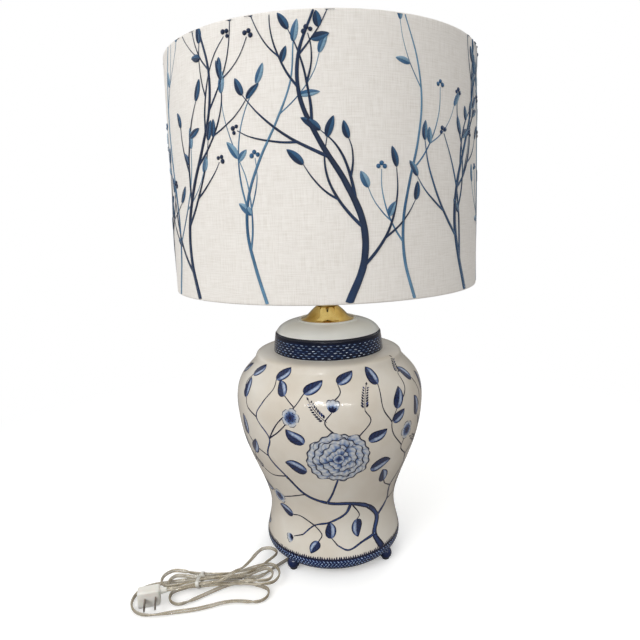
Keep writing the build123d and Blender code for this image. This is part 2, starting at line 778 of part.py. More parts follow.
def make_tie():
    """A flat strip drawn round the bundle, with its two ends twisted together on top."""
    low, middle, high = layer
    strands = [(far + 0.4, low), (near - 0.9, low), (far, middle), (-far - 0.5, middle),
               (near, middle), (-near - 2.7, high), (-17.3, high + 0.4)]
    rounds = [Pos(y, z) * Circle(cord_radius) for y, z in strands]
    bundle = make_face(make_hull([edge for spot in rounds for edge in spot.edges()]))
    inner = offset(bundle, tie_slack)
    band = offset(bundle, tie_slack + tie_sheet) - inner
    solid = extrude(Plane.YZ * band, tie_width / 2, both=True)
    solid += Pos(0, -9, high + cord_radius + 2.6) * Rot(0, 60, 0) * Box(2.4, 1.6, 9)
    return Pos(hank_x + tie_x, hank_y, 0) * solid


def make_plug():
    """A block with the lead entering at one end and the blades standing out of its front."""
    place = plug_place()
    block = fillet(Box(plug_width, plug_depth, plug_height).edges(), plug_round)
    relief = Cone(relief_radius, cord_radius + 0.6, relief_length + 1)
    relief = Pos(plug_width / 2 + (relief_length - 1) / 2, 0, plug_lead_z - plug_height / 2 - clear) * Rot(
        0, 90, 0) * relief
    body = block + relief
    for side in (-1, 1):
        body -= Pos(blade_shift + side * blade_pitch / 2, -plug_depth / 2 + 2, blade_drop()) * Box(
            blade_sheet, 4.01, blade_height)
    return place * body


def blade_drop():
    """The blades' height, measured from the plug's centre."""
    return blade_z - plug_height / 2 - clear


def make_blades():
    place = plug_place()
    blades = []
    for side in (-1, 1):
        blade = Box(blade_sheet, blade_length + 4, blade_height)
        blade = fillet(blade.edges().filter_by(Axis.X).group_by(Axis.Y)[0], 1.4)
        hole = Pos(0, -blade_length / 2 + 3, 0) * Rot(0, 90, 0) * Cylinder(1.6, 3 * blade_sheet)
        blade = Pos(blade_shift + side * blade_pitch / 2, -plug_depth / 2 - blade_length / 2 + 2, blade_drop()) * (blade - hole)
        blades.append(place * blade)
    return blades


# ------------------------------------------------------------------ write every piece
save(make_jar(), "jar_body")
save(Compound(make_pads()), "foot_pads")
save(make_lid(), "jar_lid")
save(make_vase_cap(), "vase_cap")
save(ring(rod_radius, rod_bore_radius, rod_low, rod_top - rod_low), "lamp_rod")
save(hexagon(nut_flats, rod_radius + running, nut_low, nut_height), "base_nut")
save(ring(lock_washer_radius, rod_radius + running, lock_low, lock_washer_thickness), "base_lock_washer")
save(ring(washer_radius, rod_radius + running, washer_low, washer_thickness), "base_washer")
save(ring(base_pad_radius, rod_radius + running, base_pad_low, base_pad_thickness), "base_pad")
save(ring(check_ring_radius, rod_radius + running, cap_top, check_ring_height), "check_ring")
save(ring(neck_tube_radius, rod_radius + running, check_top, neck_tube_height), "neck_tube")
save(hexagon(saddle_nut_flats, rod_radius + running, tube_top, saddle_nut_height), "saddle_locknut")
save(make_saddle(), "harp_saddle")
save(make_harp(), "harp")
save(make_sleeve(-1), "harp_sleeve_left")
save(make_sleeve(1), "harp_sleeve_right")
save(make_stud(), "harp_stud")

save(make_socket_cap() - set_screw_hole(), "socket_cap")
save(make_set_screw(), "socket_set_screw")
way_out = shaft_hole(shaft_radius + 1, cup_radius + 5)
save(make_socket_shell() - way_out, "socket_shell")
save(make_socket_liner() - way_out, "socket_liner")
save(make_switch_block(), "switch_block")
save(Compound(make_terminal_screws()), "terminal_screws")
save(Compound(make_socket_leads()), "socket_leads")
save(make_screw_shell(), "screw_shell")
save(make_centre_contact(), "centre_contact")
save(make_shaft(), "switch_shaft")
save(make_knob(), "switch_knob")
bulb_pieces = make_bulb()
for node, piece in zip(("bulb_glass", "bulb_screw_cap", "bulb_insulator", "bulb_contact"), bulb_pieces):
    save(piece, node)

save(ring(edge_outer, edge_inner, shade_low + cover_sheet, shade_height - 2 * cover_sheet), "shade_liner")
save(make_cover(), "shade_cover")
save(make_spider(), "shade_spider")
save(Pos(0, 0, shade_low + cover_sheet + shade_wire) * Torus(wire_circle, shade_wire), "shade_bottom_ring")
save(make_finial(), "finial")

bushing = ring(bushing_flange_radius, cord_radius + running, exit_z, bushing_flange_height)
bushing += ring(rod_bore_radius - running, cord_radius + running, rod_low, bushing_barrel_height)
save(bushing, "rod_bushing")
inner_lead = Pos(0, 0, (exit_z + rod_top) / 2) * Cylinder(cord_radius, rod_top - exit_z)
save(inner_lead, "lead_in_rod")
lead, lead_line = free_tube(lead_path(), "lead")
save(lead, "cord_lead")
hank_line = hank_path()
print_least_gap(hank_line)
hank = tube_along(hank_line, cord_radius)
print("hank volume against section times length",
      round(hank.volume / (pi * cord_radius ** 2 * hank_line.length), 4))
save(hank, "cord_hank")
tail, tail_line = free_tube(tail_path(), "tail")
save(tail, "cord_tail")
print("cord length outside the lamp", round(lead_line.length + hank_line.length + tail_line.length, 1))
save(make_tie(), "cord_tie")
save(make_plug(), "plug_body")
save(Compound(make_blades()), "plug_blades")
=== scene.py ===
"""Looks of a ginger jar lamp: painted jar, embroidered drum shade, brass fittings, twin lead."""

import math
import random

import bpy
import numpy as np
from mathutils import Matrix, Vector
from mathutils.bvhtree import BVHTree


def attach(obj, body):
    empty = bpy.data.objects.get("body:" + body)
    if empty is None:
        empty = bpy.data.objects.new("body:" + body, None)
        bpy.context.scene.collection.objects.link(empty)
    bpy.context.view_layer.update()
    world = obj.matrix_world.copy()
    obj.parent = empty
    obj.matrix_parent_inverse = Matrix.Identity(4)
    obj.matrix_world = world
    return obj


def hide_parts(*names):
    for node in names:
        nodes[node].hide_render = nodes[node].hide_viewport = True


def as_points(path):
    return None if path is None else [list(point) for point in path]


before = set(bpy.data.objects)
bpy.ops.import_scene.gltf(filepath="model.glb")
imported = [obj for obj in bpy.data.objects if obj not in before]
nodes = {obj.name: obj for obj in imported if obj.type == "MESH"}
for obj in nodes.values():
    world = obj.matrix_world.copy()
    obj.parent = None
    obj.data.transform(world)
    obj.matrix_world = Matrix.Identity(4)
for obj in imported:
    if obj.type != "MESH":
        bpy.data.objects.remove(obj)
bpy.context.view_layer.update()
MM = 0.001

# ------------------------------------------------------------------ camera
# place in metres, tilts in degrees, lens in mm, shifts as shares of the picture's width
CAMERA_PLACE, CAMERA_DOWN, CAMERA_ROLL = (0, -0.7492, 0.4762), 7.292, -1.649
CAMERA_LENS, CAMERA_SHIFT = 29.99, (-0.01028, -0.0547)


def add_object(name, data):
    """A new object, put in the scene."""
    made = bpy.data.objects.new(name, data)
    bpy.context.scene.collection.objects.link(made)
    return made


def make_camera():
    """The photo's viewpoint: close, a little above the shade's middle, looking slightly down."""
    data = bpy.data.cameras.new("camera")
    data.sensor_width = 36
    data.sensor_fit = "HORIZONTAL"
    data.lens = CAMERA_LENS
    data.shift_x, data.shift_y = CAMERA_SHIFT
    data.clip_start, data.clip_end = 0.02, 60
    camera = add_object("camera", data)
    pitch, roll = math.radians(90 - CAMERA_DOWN), math.radians(CAMERA_ROLL)
    camera.matrix_world = (Matrix.Translation(CAMERA_PLACE) @ Matrix.Rotation(pitch, 4, "X")
                           @ Matrix.Rotation(roll, 4, "Z"))
    bpy.context.scene.camera = camera


make_camera()


# ------------------------------------------------------------------ small helpers
def linear(rgb):
    """A colour given as 0-255 screen values, as the renderer counts it."""
    out = []
    for value in rgb:
        c = value / 255
        out.append(c / 12.92 if c <= 0.04045 else ((c + 0.055) / 1.055) ** 2.4)
    return np.array(out)


def smooth(x, low, high):
    """0 below low, 1 above high, and an even S between them."""
    t = np.clip((x - low) / (high - low), 0, 1)
    return t * t * (3 - 2 * t)


def blend(a, b, t):
    """Colour a where t is 0, colour b where t is 1."""
    t = np.asarray(t)[..., None]
    return a * (1 - t) + b * t


def measure(points):
    """The length of a line up to each of its points."""
    return np.concatenate([[0], np.cumsum(np.linalg.norm(np.diff(points, axis=0), axis=1))])


def unit(rows):
    """Each row brought to a length of 1."""
    return rows / np.linalg.norm(rows, axis=1)[:, None]


def resample(rows, at, wanted):
    """Rows known at some places of a scale, read at others."""
    return np.stack([np.interp(wanted, at, rows[:, k]) for k in range(rows.shape[1])], 1)


def running_mean(values, width):
    """Values evened out over a window, as many as before."""
    kernel = np.ones(width) / width
    padded = np.pad(values, (width // 2, width - 1 - width // 2), mode="edge")
    return np.convolve(padded, kernel, mode="valid")


def ribbon(line, widths, scale, v, tremble):
    """Half widths along a flat line, and spots across it at shares v of them."""
    ahead = np.gradient(line, axis=0)
    ahead /= np.linalg.norm(ahead, axis=1)[:, None] + 1e-12
    out = np.stack([-ahead[:, 1], ahead[:, 0]], 1)
    wide = np.interp(np.linspace(0, 1, len(line)), np.linspace(0, 1, len(widths)), widths) * scale
    half = wide / 2 * tremble
    return half, line[:, None] + out[:, None] * (half[:, None] * v)[..., None]


def turned(angle, x, y):
    """Offsets x across and y up, turned clockwise by an angle."""
    c, s = math.cos(angle), math.sin(angle)
    return x * c + y * s, -x * s + y * c


def draws(pick, low, high, *shape):
    """Random values drawn one after another, row by row."""
    return np.array([pick.uniform(low, high) for _ in range(math.prod(shape))]).reshape(shape)


def circle(count):
    """Angles of even steps round a full turn."""
    return np.arange(count) / count * math.tau


def add_node(tree, kind, inputs=(), **settings):
    """A new shader node, its inputs set from values or joined to other nodes' outputs."""
    made = tree.nodes.new(kind)
    for key, value in settings.items():
        setattr(made, key, value)
    for key, value in dict(inputs).items():
        if isinstance(value, bpy.types.NodeSocket):
            tree.links.new(value, made.inputs[key])
        else:
            made.inputs[key].default_value = value
    return made


def fill_ramp(node, stops):
    """Sets the stops of a colour ramp: each a position and a linear colour."""
    elements = node.color_ramp.elements
    while len(elements) < len(stops):
        elements.new(0.5)
    for element, (where, colour) in zip(elements, stops):
        element.position = where
        element.color = (*colour, 1)


class Sheet:
    """Grids of points gathered into one mesh, with a colour at each point and a flat map."""

    def __init__(self):
        self.points, self.faces, self.colours, self.maps, self.slots = [], [], [], [], []
        self.count = 0

    def grid(self, points, colours=None, flat=None, wrap=False, slot=0):
        n, m = points.shape[:2]
        if colours is None:
            colours = np.ones((n, m, 3))
        if flat is None:
            flat = np.zeros((n, m, 2))
        self.points.append(points.reshape(-1, 3))
        self.colours.append(np.broadcast_to(colours, (n, m, 3)).reshape(-1, 3))
        self.maps.append(flat.reshape(-1, 2))
        i, j = np.meshgrid(np.arange(n - 1), np.arange(m if wrap else m - 1), indexing="ij")
        k = (j + 1) % m
        faces = np.stack([i * m + j, i * m + k, (i + 1) * m + k, (i + 1) * m + j], -1).reshape(-1, 4)
        self.faces.append(faces + self.count)
        self.slots.append(np.full(len(faces), slot))
        self.count += n * m

    def make(self, name, body, materials, slot=None):
        mesh = bpy.data.meshes.new(name)
        points = np.concatenate(self.points)
        faces = np.concatenate(self.faces)
        mesh.from_pydata(points.tolist(), [], faces.tolist())
        colours = np.concatenate([np.concatenate(self.colours), np.ones((len(points), 1))], 1)
        layer = mesh.color_attributes.new(name="Paint", type="FLOAT_COLOR", domain="POINT")
        layer.data.foreach_set("color", colours.astype(np.float32).ravel())
        uv = mesh.uv_layers.new(name="UVMap")
        corners = np.zeros(len(mesh.loops), np.int32)
        mesh.loops.foreach_get("vertex_index", corners)
        uv.data.foreach_set("uv", np.concatenate(self.maps)[corners].astype(np.float32).ravel())
        mesh.polygons.foreach_set("use_smooth", [True] * len(faces))
        mesh.polygons.foreach_set("material_index", np.concatenate(self.slots).astype(np.int32))
        for material in materials if isinstance(materials, list) else [materials]:
            mesh.materials.append(material)
        mesh.update()
        piece = add_object(name, mesh)
        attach(piece, body)
        return piece


# ------------------------------------------------------------------ materials
LINEN_PITCH, THREAD_PITCH = 0.00085, 0.00055


class Look:
    """A material and short calls for its nodes."""

    def __init__(self, name, colour, rough, metal=0.0, **fixed):
        self.material = bpy.data.materials.new(name)
        self.material.use_nodes = True
        self.tree = self.material.node_tree
        self.shader = self.tree.nodes["Principled BSDF"]
        sockets = self.shader.inputs
        sockets["Base Color"].default_value = (*linear(colour), 1)
        sockets["Roughness"].default_value = rough
        sockets["Metallic"].default_value = metal
        for key, value in fixed.items():
            sockets[key.replace("_", " ")].default_value = value
        self.place = self.tree.nodes.new("ShaderNodeTexCoord").outputs["Object"]

    def node(self, kind, inputs=(), **settings):
        return add_node(self.tree, kind, inputs, **settings)

    def link(self, value, socket):
        self.tree.links.new(value, self.shader.inputs[socket])

    def maths(self, operation, a, b=0.0, c=0.0):
        return self.node("ShaderNodeMath", {0: a, 1: b, 2: c}, operation=operation).outputs[0]

    def noise(self, scale, detail=3.0, rough=0.55, vector=None, stretch=None):
        vector = self.place if vector is None else vector
        if stretch:
            vector = self.node("ShaderNodeMapping", {"Vector": vector, "Scale": stretch}).outputs[0]
        return self.node("ShaderNodeTexNoise", {"Vector": vector, "Scale": scale, "Detail": detail,
                                                "Roughness": rough}).outputs["Fac"]

    def spread(self, value, low, high, to_low, to_high):
        return self.node("ShaderNodeMapRange", {"Value": value, "From Min": low, "From Max": high,
                                                "To Min": to_low, "To Max": to_high}).outputs[0]

    def ramp(self, value, *stops):
        made = self.node("ShaderNodeValToRGB", {"Fac": value})
        fill_ramp(made, [(where, linear(colour)) for where, colour in stops])
        return made.outputs["Color"]

    def tint(self, colour, by, low=0.9, high=1.08):
        """A colour made lighter and darker by a value from 0 to 1."""
        factor = self.spread(by, 0.3, 0.7, low, high)
        return self.node("ShaderNodeVectorMath", {0: colour, "Scale": factor}, operation="SCALE").outputs[0]

    def bump(self, height, strength, distance, under=None):
        inputs = {"Height": height, "Strength": strength, "Distance": distance}
        if under is not None:
            inputs["Normal"] = under
        made = self.node("ShaderNodeBump", inputs).outputs[0]
        self.link(made, "Normal")
        return made

    def vary_rough(self, value, low, high):
        self.link(self.spread(value, 0.3, 0.7, low, high), "Roughness")

    def flat_map(self):
        """The piece's flat map, whole and as its two parts."""
        flat = self.node("ShaderNodeUVMap", uv_map="UVMap").outputs[0]
        parts = self.node("ShaderNodeSeparateXYZ", {0: flat}).outputs
        return flat, parts[0], parts[1]

    def painted(self):
        """The colour stored at each point of the mesh."""
        return self.node("ShaderNodeAttribute", attribute_name="Paint").outputs["Color"]


def glossy(name, colour):
    """What bare and painted glaze share: the gloss and the long ripple of the surface."""
    look = Look(name, colour, 0.12, Coat_Weight=0.35, Coat_Roughness=0.05)
    look.vary_rough(look.noise(60, 2), 0.08, 0.2)
    return look, look.bump(look.noise(38, 2, 0.4), 0.12, 0.0012)


def glaze_look(name, light, dark):
    look, ripple = glossy(name, light)
    cloud = look.ramp(look.noise(14, 3), (0.32, dark), (0.68, light))
    look.link(look.tint(cloud, look.noise(900, 2), 0.985, 1.012), "Base Color")
    look.bump(look.noise(420, 2), 0.05, 0.0003, ripple)
    return look.material


def metal_look(name, colour, dark, rough, brushed=(1, 1, 1)):
    """Bare metal, duller in patches, with fine marks that may be drawn out along one axis."""
    look = Look(name, colour, rough, 1.0, Specular_IOR_Level=0.5)
    look.link(look.ramp(look.noise(55, 4), (0.3, dark), (0.62, colour)), "Base Color")
    look.vary_rough(look.noise(130, 3), rough * 0.75, rough * 1.6)
    look.bump(look.noise(700, 2, 0.6, stretch=brushed), 0.05, 0.0002)
    return look.material


def plastic_look(name, light, dark, rough, grain=600, strength=0.08, **fixed):
    look = Look(name, light, rough, **fixed)
    look.link(look.ramp(look.noise(45, 3), (0.3, dark), (0.65, light)), "Base Color")
    look.vary_rough(look.noise(90, 3), rough * 0.8, min(1, rough * 1.3))
    look.bump(look.noise(grain, 3), strength, 0.0003)
    return look.material


def paint_look(name):
    """Underglaze painting: its colour is in the mesh, its gloss is the glaze's."""
    look, _ = glossy(name, (60, 80, 130))
    look.link(look.tint(look.painted(), look.noise(420, 4), 0.86, 1.16), "Base Color")
    return look.material


def linen_look(name):
    """Plain weave: threads of uneven weight both ways, with slubs, over a warm white."""
    look = Look(name, (236, 231, 222), 0.88, Sheen_Weight=0.25, Sheen_Roughness=0.5)
    flat, across, up = look.flat_map()
    wander = look.noise(90, 2, vector=flat)
    u = look.maths("MULTIPLY_ADD", wander, 0.0012, across)
    v = look.maths("MULTIPLY_ADD", wander, -0.0011, up)
    warp = look.maths("SINE", look.maths("MULTIPLY", u, math.pi / LINEN_PITCH))
    weft = look.maths("SINE", look.maths("MULTIPLY", v, math.pi / LINEN_PITCH))
    over = look.maths("MULTIPLY", warp, weft)
    ridge = look.maths("ADD", look.maths("ABSOLUTE", warp), look.maths("ABSOLUTE", weft))
    weave = look.maths("MULTIPLY_ADD", over, 0.35, look.maths("MULTIPLY", ridge, 0.5))
    slub_up = look.noise(1, 4, 0.65, vector=flat, stretch=(900, 45, 1))
    slub_across = look.noise(1, 4, 0.65, vector=flat, stretch=(45, 900, 1))
    slubs = look.maths("MULTIPLY", look.maths("ADD", slub_up, slub_across), 0.5)
    # the weave's share of the tone darkens the gaps between threads as painted shade; the slubs' share is the yarn's
    # own unevenness
    tone = look.maths("MULTIPLY_ADD", weave, 0.12, look.maths("MULTIPLY", slubs, 0.9))
    colour = look.ramp(tone, (0.36, (220, 215, 206)), (0.5, (234, 230, 224)), (0.64, (244, 241, 236)))
    look.link(look.tint(colour, look.noise(9, 2), 0.985, 1.012), "Base Color")
    look.bump(slubs, 0.35, 0.0006, look.bump(weave, 0.35, 0.00035))
    return look.material


def thread_look(name):
    """Satin stitch: threads laid side by side across the form, with a silk sheen."""
    look = Look(name, (40, 70, 110), 0.5, Sheen_Weight=0.35, Sheen_Roughness=0.35, Anisotropic=0.4)
    flat, across, _ = look.flat_map()
    along = look.maths("MULTIPLY_ADD", look.noise(700, 1, vector=flat), 0.0004, across)
    thread = look.maths("SINE", look.maths("MULTIPLY", along, 2 * math.pi / THREAD_PITCH))
    streak = look.noise(1, 2, 0.6, vector=flat, stretch=(1500, 60, 1))
    # the colour darkens along the grooves between threads as painted shade, and also varies in random streaks
    shade = look.maths("MULTIPLY_ADD", thread, 0.07, streak)
    look.link(look.tint(look.painted(), shade, 0.78, 1.25), "Base Color")
    look.bump(thread, 0.5, 0.0002)
    return look.material


def lead_look():
    look = Look("clear_insulation", (214, 208, 192), 0.1, Alpha=0.34, IOR=1.52, Coat_Weight=0.4,
                Coat_Roughness=0.08)
    look.link(look.ramp(look.noise(70, 3), (0.3, (184, 168, 138)), (0.65, (244, 238, 222))), "Base Color")
    look.vary_rough(look.noise(160, 3), 0.1, 0.28)
    look.bump(look.noise(260, 2), 0.06, 0.0004)
    return look.material


def strand_look():
    """The stranded conductor that shows through the jacket: its wires lie in a slow twist."""
    look = Look("tinned_strands", (205, 196, 176), 0.3, 1.0)
    _, along, around = look.flat_map()
    lay = look.maths("MULTIPLY_ADD", around, 7.0, look.maths("MULTIPLY", along, 420.0))
    wire = look.maths("SINE", lay)
    # each wire is coloured light along its crown and dark between wires: painted highlight and painted shade
    look.link(look.ramp(look.maths("MULTIPLY_ADD", wire, 0.3, 0.5), (0.2, (132, 114, 86)),
                        (0.8, (246, 238, 216))), "Base Color")
    look.bump(wire, 0.4, 0.0001)
    return look.material


def glass_look(name, colour, rough, **fixed):
    look = Look(name, colour, rough, IOR=1.5, **fixed)
    look.vary_rough(look.noise(80, 3), rough * 0.8, rough * 1.25)
    look.bump(look.noise(300, 2), 0.03, 0.0003)
    return look.material


def fibre_look(name, light, dark, scale, stretch=None, rough=0.9):
    look = Look(name, light, rough, Sheen_Weight=0.2)
    fibres = look.noise(scale, 5, 0.7, stretch=stretch)
    look.link(look.ramp(fibres, (0.35, dark), (0.65, light)), "Base Color")
    look.bump(fibres, 0.4, 0.0006)
    return look.material


looks = {
    "glaze": glaze_look("cream_glaze", (226, 221, 211), (213, 204, 190)),
    "lid_glaze": glaze_look("pale_glaze", (248, 249, 245), (238, 240, 236)),
    "felt": fibre_look("felt", (46, 47, 52), (22, 23, 26), 900),
    "brass": metal_look("polished_brass", (244, 214, 132), (214, 172, 86), 0.08),
    "satin_brass": metal_look("satin_brass", (205, 172, 108), (176, 140, 80), 0.34, (1, 1, 9)),
    "steel": metal_look("zinc_steel", (190, 189, 184), (150, 149, 144), 0.32),
    "rubber": plastic_look("rubber", (34, 34, 35), (20, 20, 21), 0.72),
    "card": fibre_look("card_tube", (150, 122, 88), (120, 94, 64), 260, (1, 1, 6)),
    "phenolic": plastic_look("phenolic", (38, 33, 31), (24, 20, 19), 0.38),
    "lead": plastic_look("lead_cover", (208, 202, 186), (184, 176, 156), 0.25),
    "bulb_glass": glass_look("frosted_glass", (246, 245, 240), 0.4, Transmission_Weight=0.35),
    "black_glass": glass_look("black_glass", (24, 24, 28), 0.14),
    "bulb_cap": metal_look("rolled_aluminium", (196, 198, 200), (160, 161, 163), 0.28, (1, 1, 8)),
    "styrene": plastic_look("styrene_liner", (240, 236, 226), (231, 226, 214), 0.6, 240, 0.05),
    "shade_wire": plastic_look("white_enamel", (232, 228, 219), (214, 209, 198), 0.35, 400, 0.06),
    "white_plastic": plastic_look("white_moulding", (236, 234, 227), (222, 219, 210), 0.34, 500, 0.05,
                                  Subsurface_Weight=0.06),
    "natural_plastic": plastic_look("natural_moulding", (222, 217, 203), (206, 200, 184), 0.42),
    "blade": metal_look("plated_blade", (168, 158, 148), (120, 110, 102), 0.32, (1, 6, 1)),
    "linen": linen_look("linen"),
}
navy_glaze = plastic_look("navy_glaze", (20, 36, 78), (10, 20, 52), 0.14, 38, 0.1, Coat_Weight=0.4,
                          Coat_Roughness=0.06)
biscuit = fibre_look("unglazed_foot", (206, 194, 172), (182, 168, 144), 700)
paint = paint_look("cobalt_painting")
thread = thread_look("embroidery_thread")

for node in nodes.values():
    slot_name = node.data.materials[0].name.split(".")[0]
    if slot_name in looks:
        node.data.materials[0] = looks[slot_name]

# the jar's underside in mm: the flat foot of its wall lies between these two radii
FOOT_RING_RADIUS, RECESS_RADIUS = 86.9, 79
UNDERSIDE, RECESS_TOP, NAVY_TOP = 8.0, 34.5, 26


def dress_jar_underside():
    """The feet are navy; the flat foot of the wall and the recess inside it are bare clay."""
    mesh = nodes["jar_body"].data
    mesh.materials.append(navy_glaze)
    mesh.materials.append(biscuit)
    for face in mesh.polygons:
        x, y, z = (value / MM for value in face.center)
        reach = math.hypot(x, y)
        bare = reach < FOOT_RING_RADIUS and UNDERSIDE - 0.1 < z < RECESS_TOP
        if bare and (reach < RECESS_RADIUS or z < UNDERSIDE + 0.4):
            face.material_index = 2
        elif z < NAVY_TOP:
            face.material_index = 1


dress_jar_underside()


# ------------------------------------------------------------------ lead
# the hank's waist, the space between its runs and its three layers, in mm
HANK = (-118.0, -104.0)
RUN = 6.6
LOW, MIDDLE, HIGH = 3.2, 8.8, 14.4
NEAR, FAR = RUN / 2, 1.5 * RUN
LEAD_WIDTH, LEAD_THICK = 5.0, 2.6
# in metres: the conductor, and the bends between which the flat lead turns on edge
CORE_RADIUS = 0.0008
EASY_RADIUS, TIGHT_RADIUS = 0.055, 0.024
ON_EDGE = math.pi / 2 - 0.2
# the tie: its plane in mm from the waist, its section in mm across and out, and how often its ends are twisted
TIE_X = -58
TIE_SECTION = ((-2.2, 0.0), (-1.9, 0.25), (-0.6, 0.28), (0, 0.75), (0.6, 0.28), (1.9, 0.25), (2.2, 0.0))
TWISTS = 2.6
# in metres: how far from the waist it looks for strands, how far it stands off them, its lowest point
TIE_REACH, STRAND_REACH, TIE_LOWEST = 0.023, 0.0030, 0.0009


def on_hank(*rows):
    """Points given from the hank's waist, as places on the table."""
    return [(HANK[0] + x, HANK[1] + y, z) for x, y, z in rows]


def lobe(x, y, radius, heading, first, last):
    """The control points of a half turn at one end of a loop."""
    out = radius / math.cos(math.radians(18))
    rows = []
    for k in range(5):
        turn = math.radians(heading - 72 + 36 * k)
        rows.append((x + out * math.cos(turn), y + out * math.sin(turn), first + (last - first) * (k + 0.5) / 5))
    return on_hank(*rows)


def lead_route():
    """From the bushing under the base, out between the feet, round the hank's loops and to the plug."""
    route = [(0, 0, 23), (0, 0, 12.5), (-4.6, -3.9, 5.4), (-14, -12, 3.4), (-29, -25.5, 3), (-52, -46, 3),
             (-76, -68, 3), (-93, -87, 3), (-101, -93.5, 3.1), (-110, -94.1, LOW)]
    route += on_hank((8, FAR, LOW), (-26, FAR + 0.5, LOW), (-60, FAR + 0.4, LOW), (-92, 6, LOW))
    route += lobe(-110, -25, 28.5, 196, LOW, LOW)
    route += on_hank((-78, -49.5, LOW), (-50, -46, LOW), (-14, -32, LOW))
    route += lobe(18, -21, 15, -30, LOW, LOW)
    route += on_hank((-6, NEAR, LOW), (-48, NEAR, LOW))
    route += lobe(-77, -21, 15.5, 215, LOW, LOW)
    route += on_hank((-42, -16, LOW), (-22, -NEAR - 0.4, LOW + 0.6), (4, -NEAR, MIDDLE))
    route += lobe(22, 7, 13.5, 12, MIDDLE, MIDDLE)
    route += on_hank((-2, NEAR, MIDDLE), (-60, NEAR, MIDDLE))
    route += lobe(-86, -2, 13, 180, MIDDLE, MIDDLE)
    route += on_hank((-50, -FAR, MIDDLE), (-4, -FAR, MIDDLE))
    route += lobe(23, 7.5, 21.5, 12, MIDDLE, MIDDLE)
    route += on_hank((-18, FAR + 0.3, MIDDLE), (-60, FAR, MIDDLE))
    route += lobe(-88, 1.2, 20.5, 182, MIDDLE, HIGH)
    route += on_hank((-46, -NEAR, HIGH), (0, -NEAR, HIGH))
    route += lobe(24, 41, 14.5, 66, HIGH, HIGH)
    route += on_hank((-1, 14, HIGH + 2), (-9, 1.4, HIGH + 6), (-17.5, -7.4, HIGH + 6), (-28, -13.4, HIGH + 2),
                     (-44, -14.8, HIGH + 1), (-52, -16.2, HIGH + 1.2), (-59.9, -17.6, HIGH + 1.4),
                     (-70.5, -20.6, HIGH + 0.8), (-80, -23.7, HIGH + 0.8), (-88.15, -23.9, HIGH + 0.6),
                     (-94.9, -25.3, HIGH + 0.6))
    return [(x * MM, y * MM, z * MM) for x, y, z in route]


def follow(route):
    """Points along the smooth line that has these control points."""
    curve = bpy.data.curves.new("lead_line", "CURVE")
    curve.dimensions = "3D"
    curve.resolution_u = 12
    spline = curve.splines.new("NURBS")
    spline.points.add(len(route) - 1)
    for point, where in zip(spline.points, route):
        point.co = (*where, 1)
    spline.order_u = 3
    spline.use_endpoint_u = True
    holder = add_object("lead_line", curve)
    bpy.context.view_layer.update()
    mesh = bpy.data.meshes.new_from_object(holder)
    points = np.array([v.co for v in mesh.vertices])
    bpy.data.objects.remove(holder)
    bpy.data.meshes.remove(mesh)
    keep = np.concatenate([[True], np.linalg.norm(np.diff(points, axis=0), axis=1) > 1e-6])
    return points[keep]


def lead_frames(line):
    """Heading and the width's direction at each point: flat on the runs, on edge round the turns."""
    heading = unit(np.gradient(line, axis=0))
    along = measure(line)
    bend = np.linalg.norm(np.gradient(heading, axis=0), axis=1) / np.maximum(np.gradient(along), 1e-6)
    turning = smooth(running_mean(bend, 21), 1 / EASY_RADIUS, 1 / TIGHT_RADIUS)
    wander = (0.85 * np.sin(along / 0.043 + 0.6) + 0.65 * np.sin(along / 0.019 + 2.1)
              + 0.45 * np.sin(along / 0.087 + 4.0))
    twist = wander * (1 - turning) + turning * ON_EDGE
    upright = heading[:, 2] ** 2 > 0.5
    level = np.cross(heading, (0, 0, 1))
    level[upright] = (0, 1, 0)
    level = unit(level)
    above = np.cross(level, heading)
    side = level * np.cos(twist)[:, None] + above * np.sin(twist)[:, None]
    return along, side, np.cross(heading, side)


def make_lead():
    """The flat jacket with a conductor in each rounded edge, swept along the route."""
    line = follow(lead_route())
    along, side, face = lead_frames(line)
    sheet = Sheet()

    def sweep(outline, flat_around, slot):
        points = line[:, None] + side[:, None] * outline[None, :, :1] + face[:, None] * outline[None, :, 1:]
        flat = np.stack(np.broadcast_arrays(along[:, None], flat_around[None]), -1)
        sheet.grid(points, flat=flat, wrap=True, slot=slot)

    half, edge = (LEAD_WIDTH - LEAD_THICK) / 2 * MM, LEAD_THICK / 2 * MM
    outline = [(half + edge * math.cos(turn), edge * math.sin(turn))
               for turn in np.radians(np.linspace(-130, 130, 9))]
    outline += [(-x, -y) for x, y in outline]
    sweep(np.array(outline), np.arange(len(outline)) / len(outline) * 0.014, 0)
    ring = np.radians(np.arange(0, 360, 45))
    for sign in (-1, 1):
        core = np.stack([sign * half + CORE_RADIUS * np.cos(ring), CORE_RADIUS * np.sin(ring)], 1)
        sweep(core, ring, 1)
    lead = sheet.make("twin_lead", "lamp", [lead_look(), strand_look()], "lead")
    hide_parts("cord_lead", "cord_hank", "cord_tail")
    return lead, line


def hull(points):
    """Outline of a set of level points, counter-clockwise."""
    points = sorted(map(tuple, points))
    rows = []
    for group in (points, points[::-1]):
        part = []
        for p in group:
            while len(part) > 1 and ((part[-1][0] - part[-2][0]) * (p[1] - part[-2][1])
                                     <= (part[-1][1] - part[-2][1]) * (p[0] - part[-2][0])):
                part.pop()
            part.append(p)
        rows += part[:-1]
    return np.array(rows)


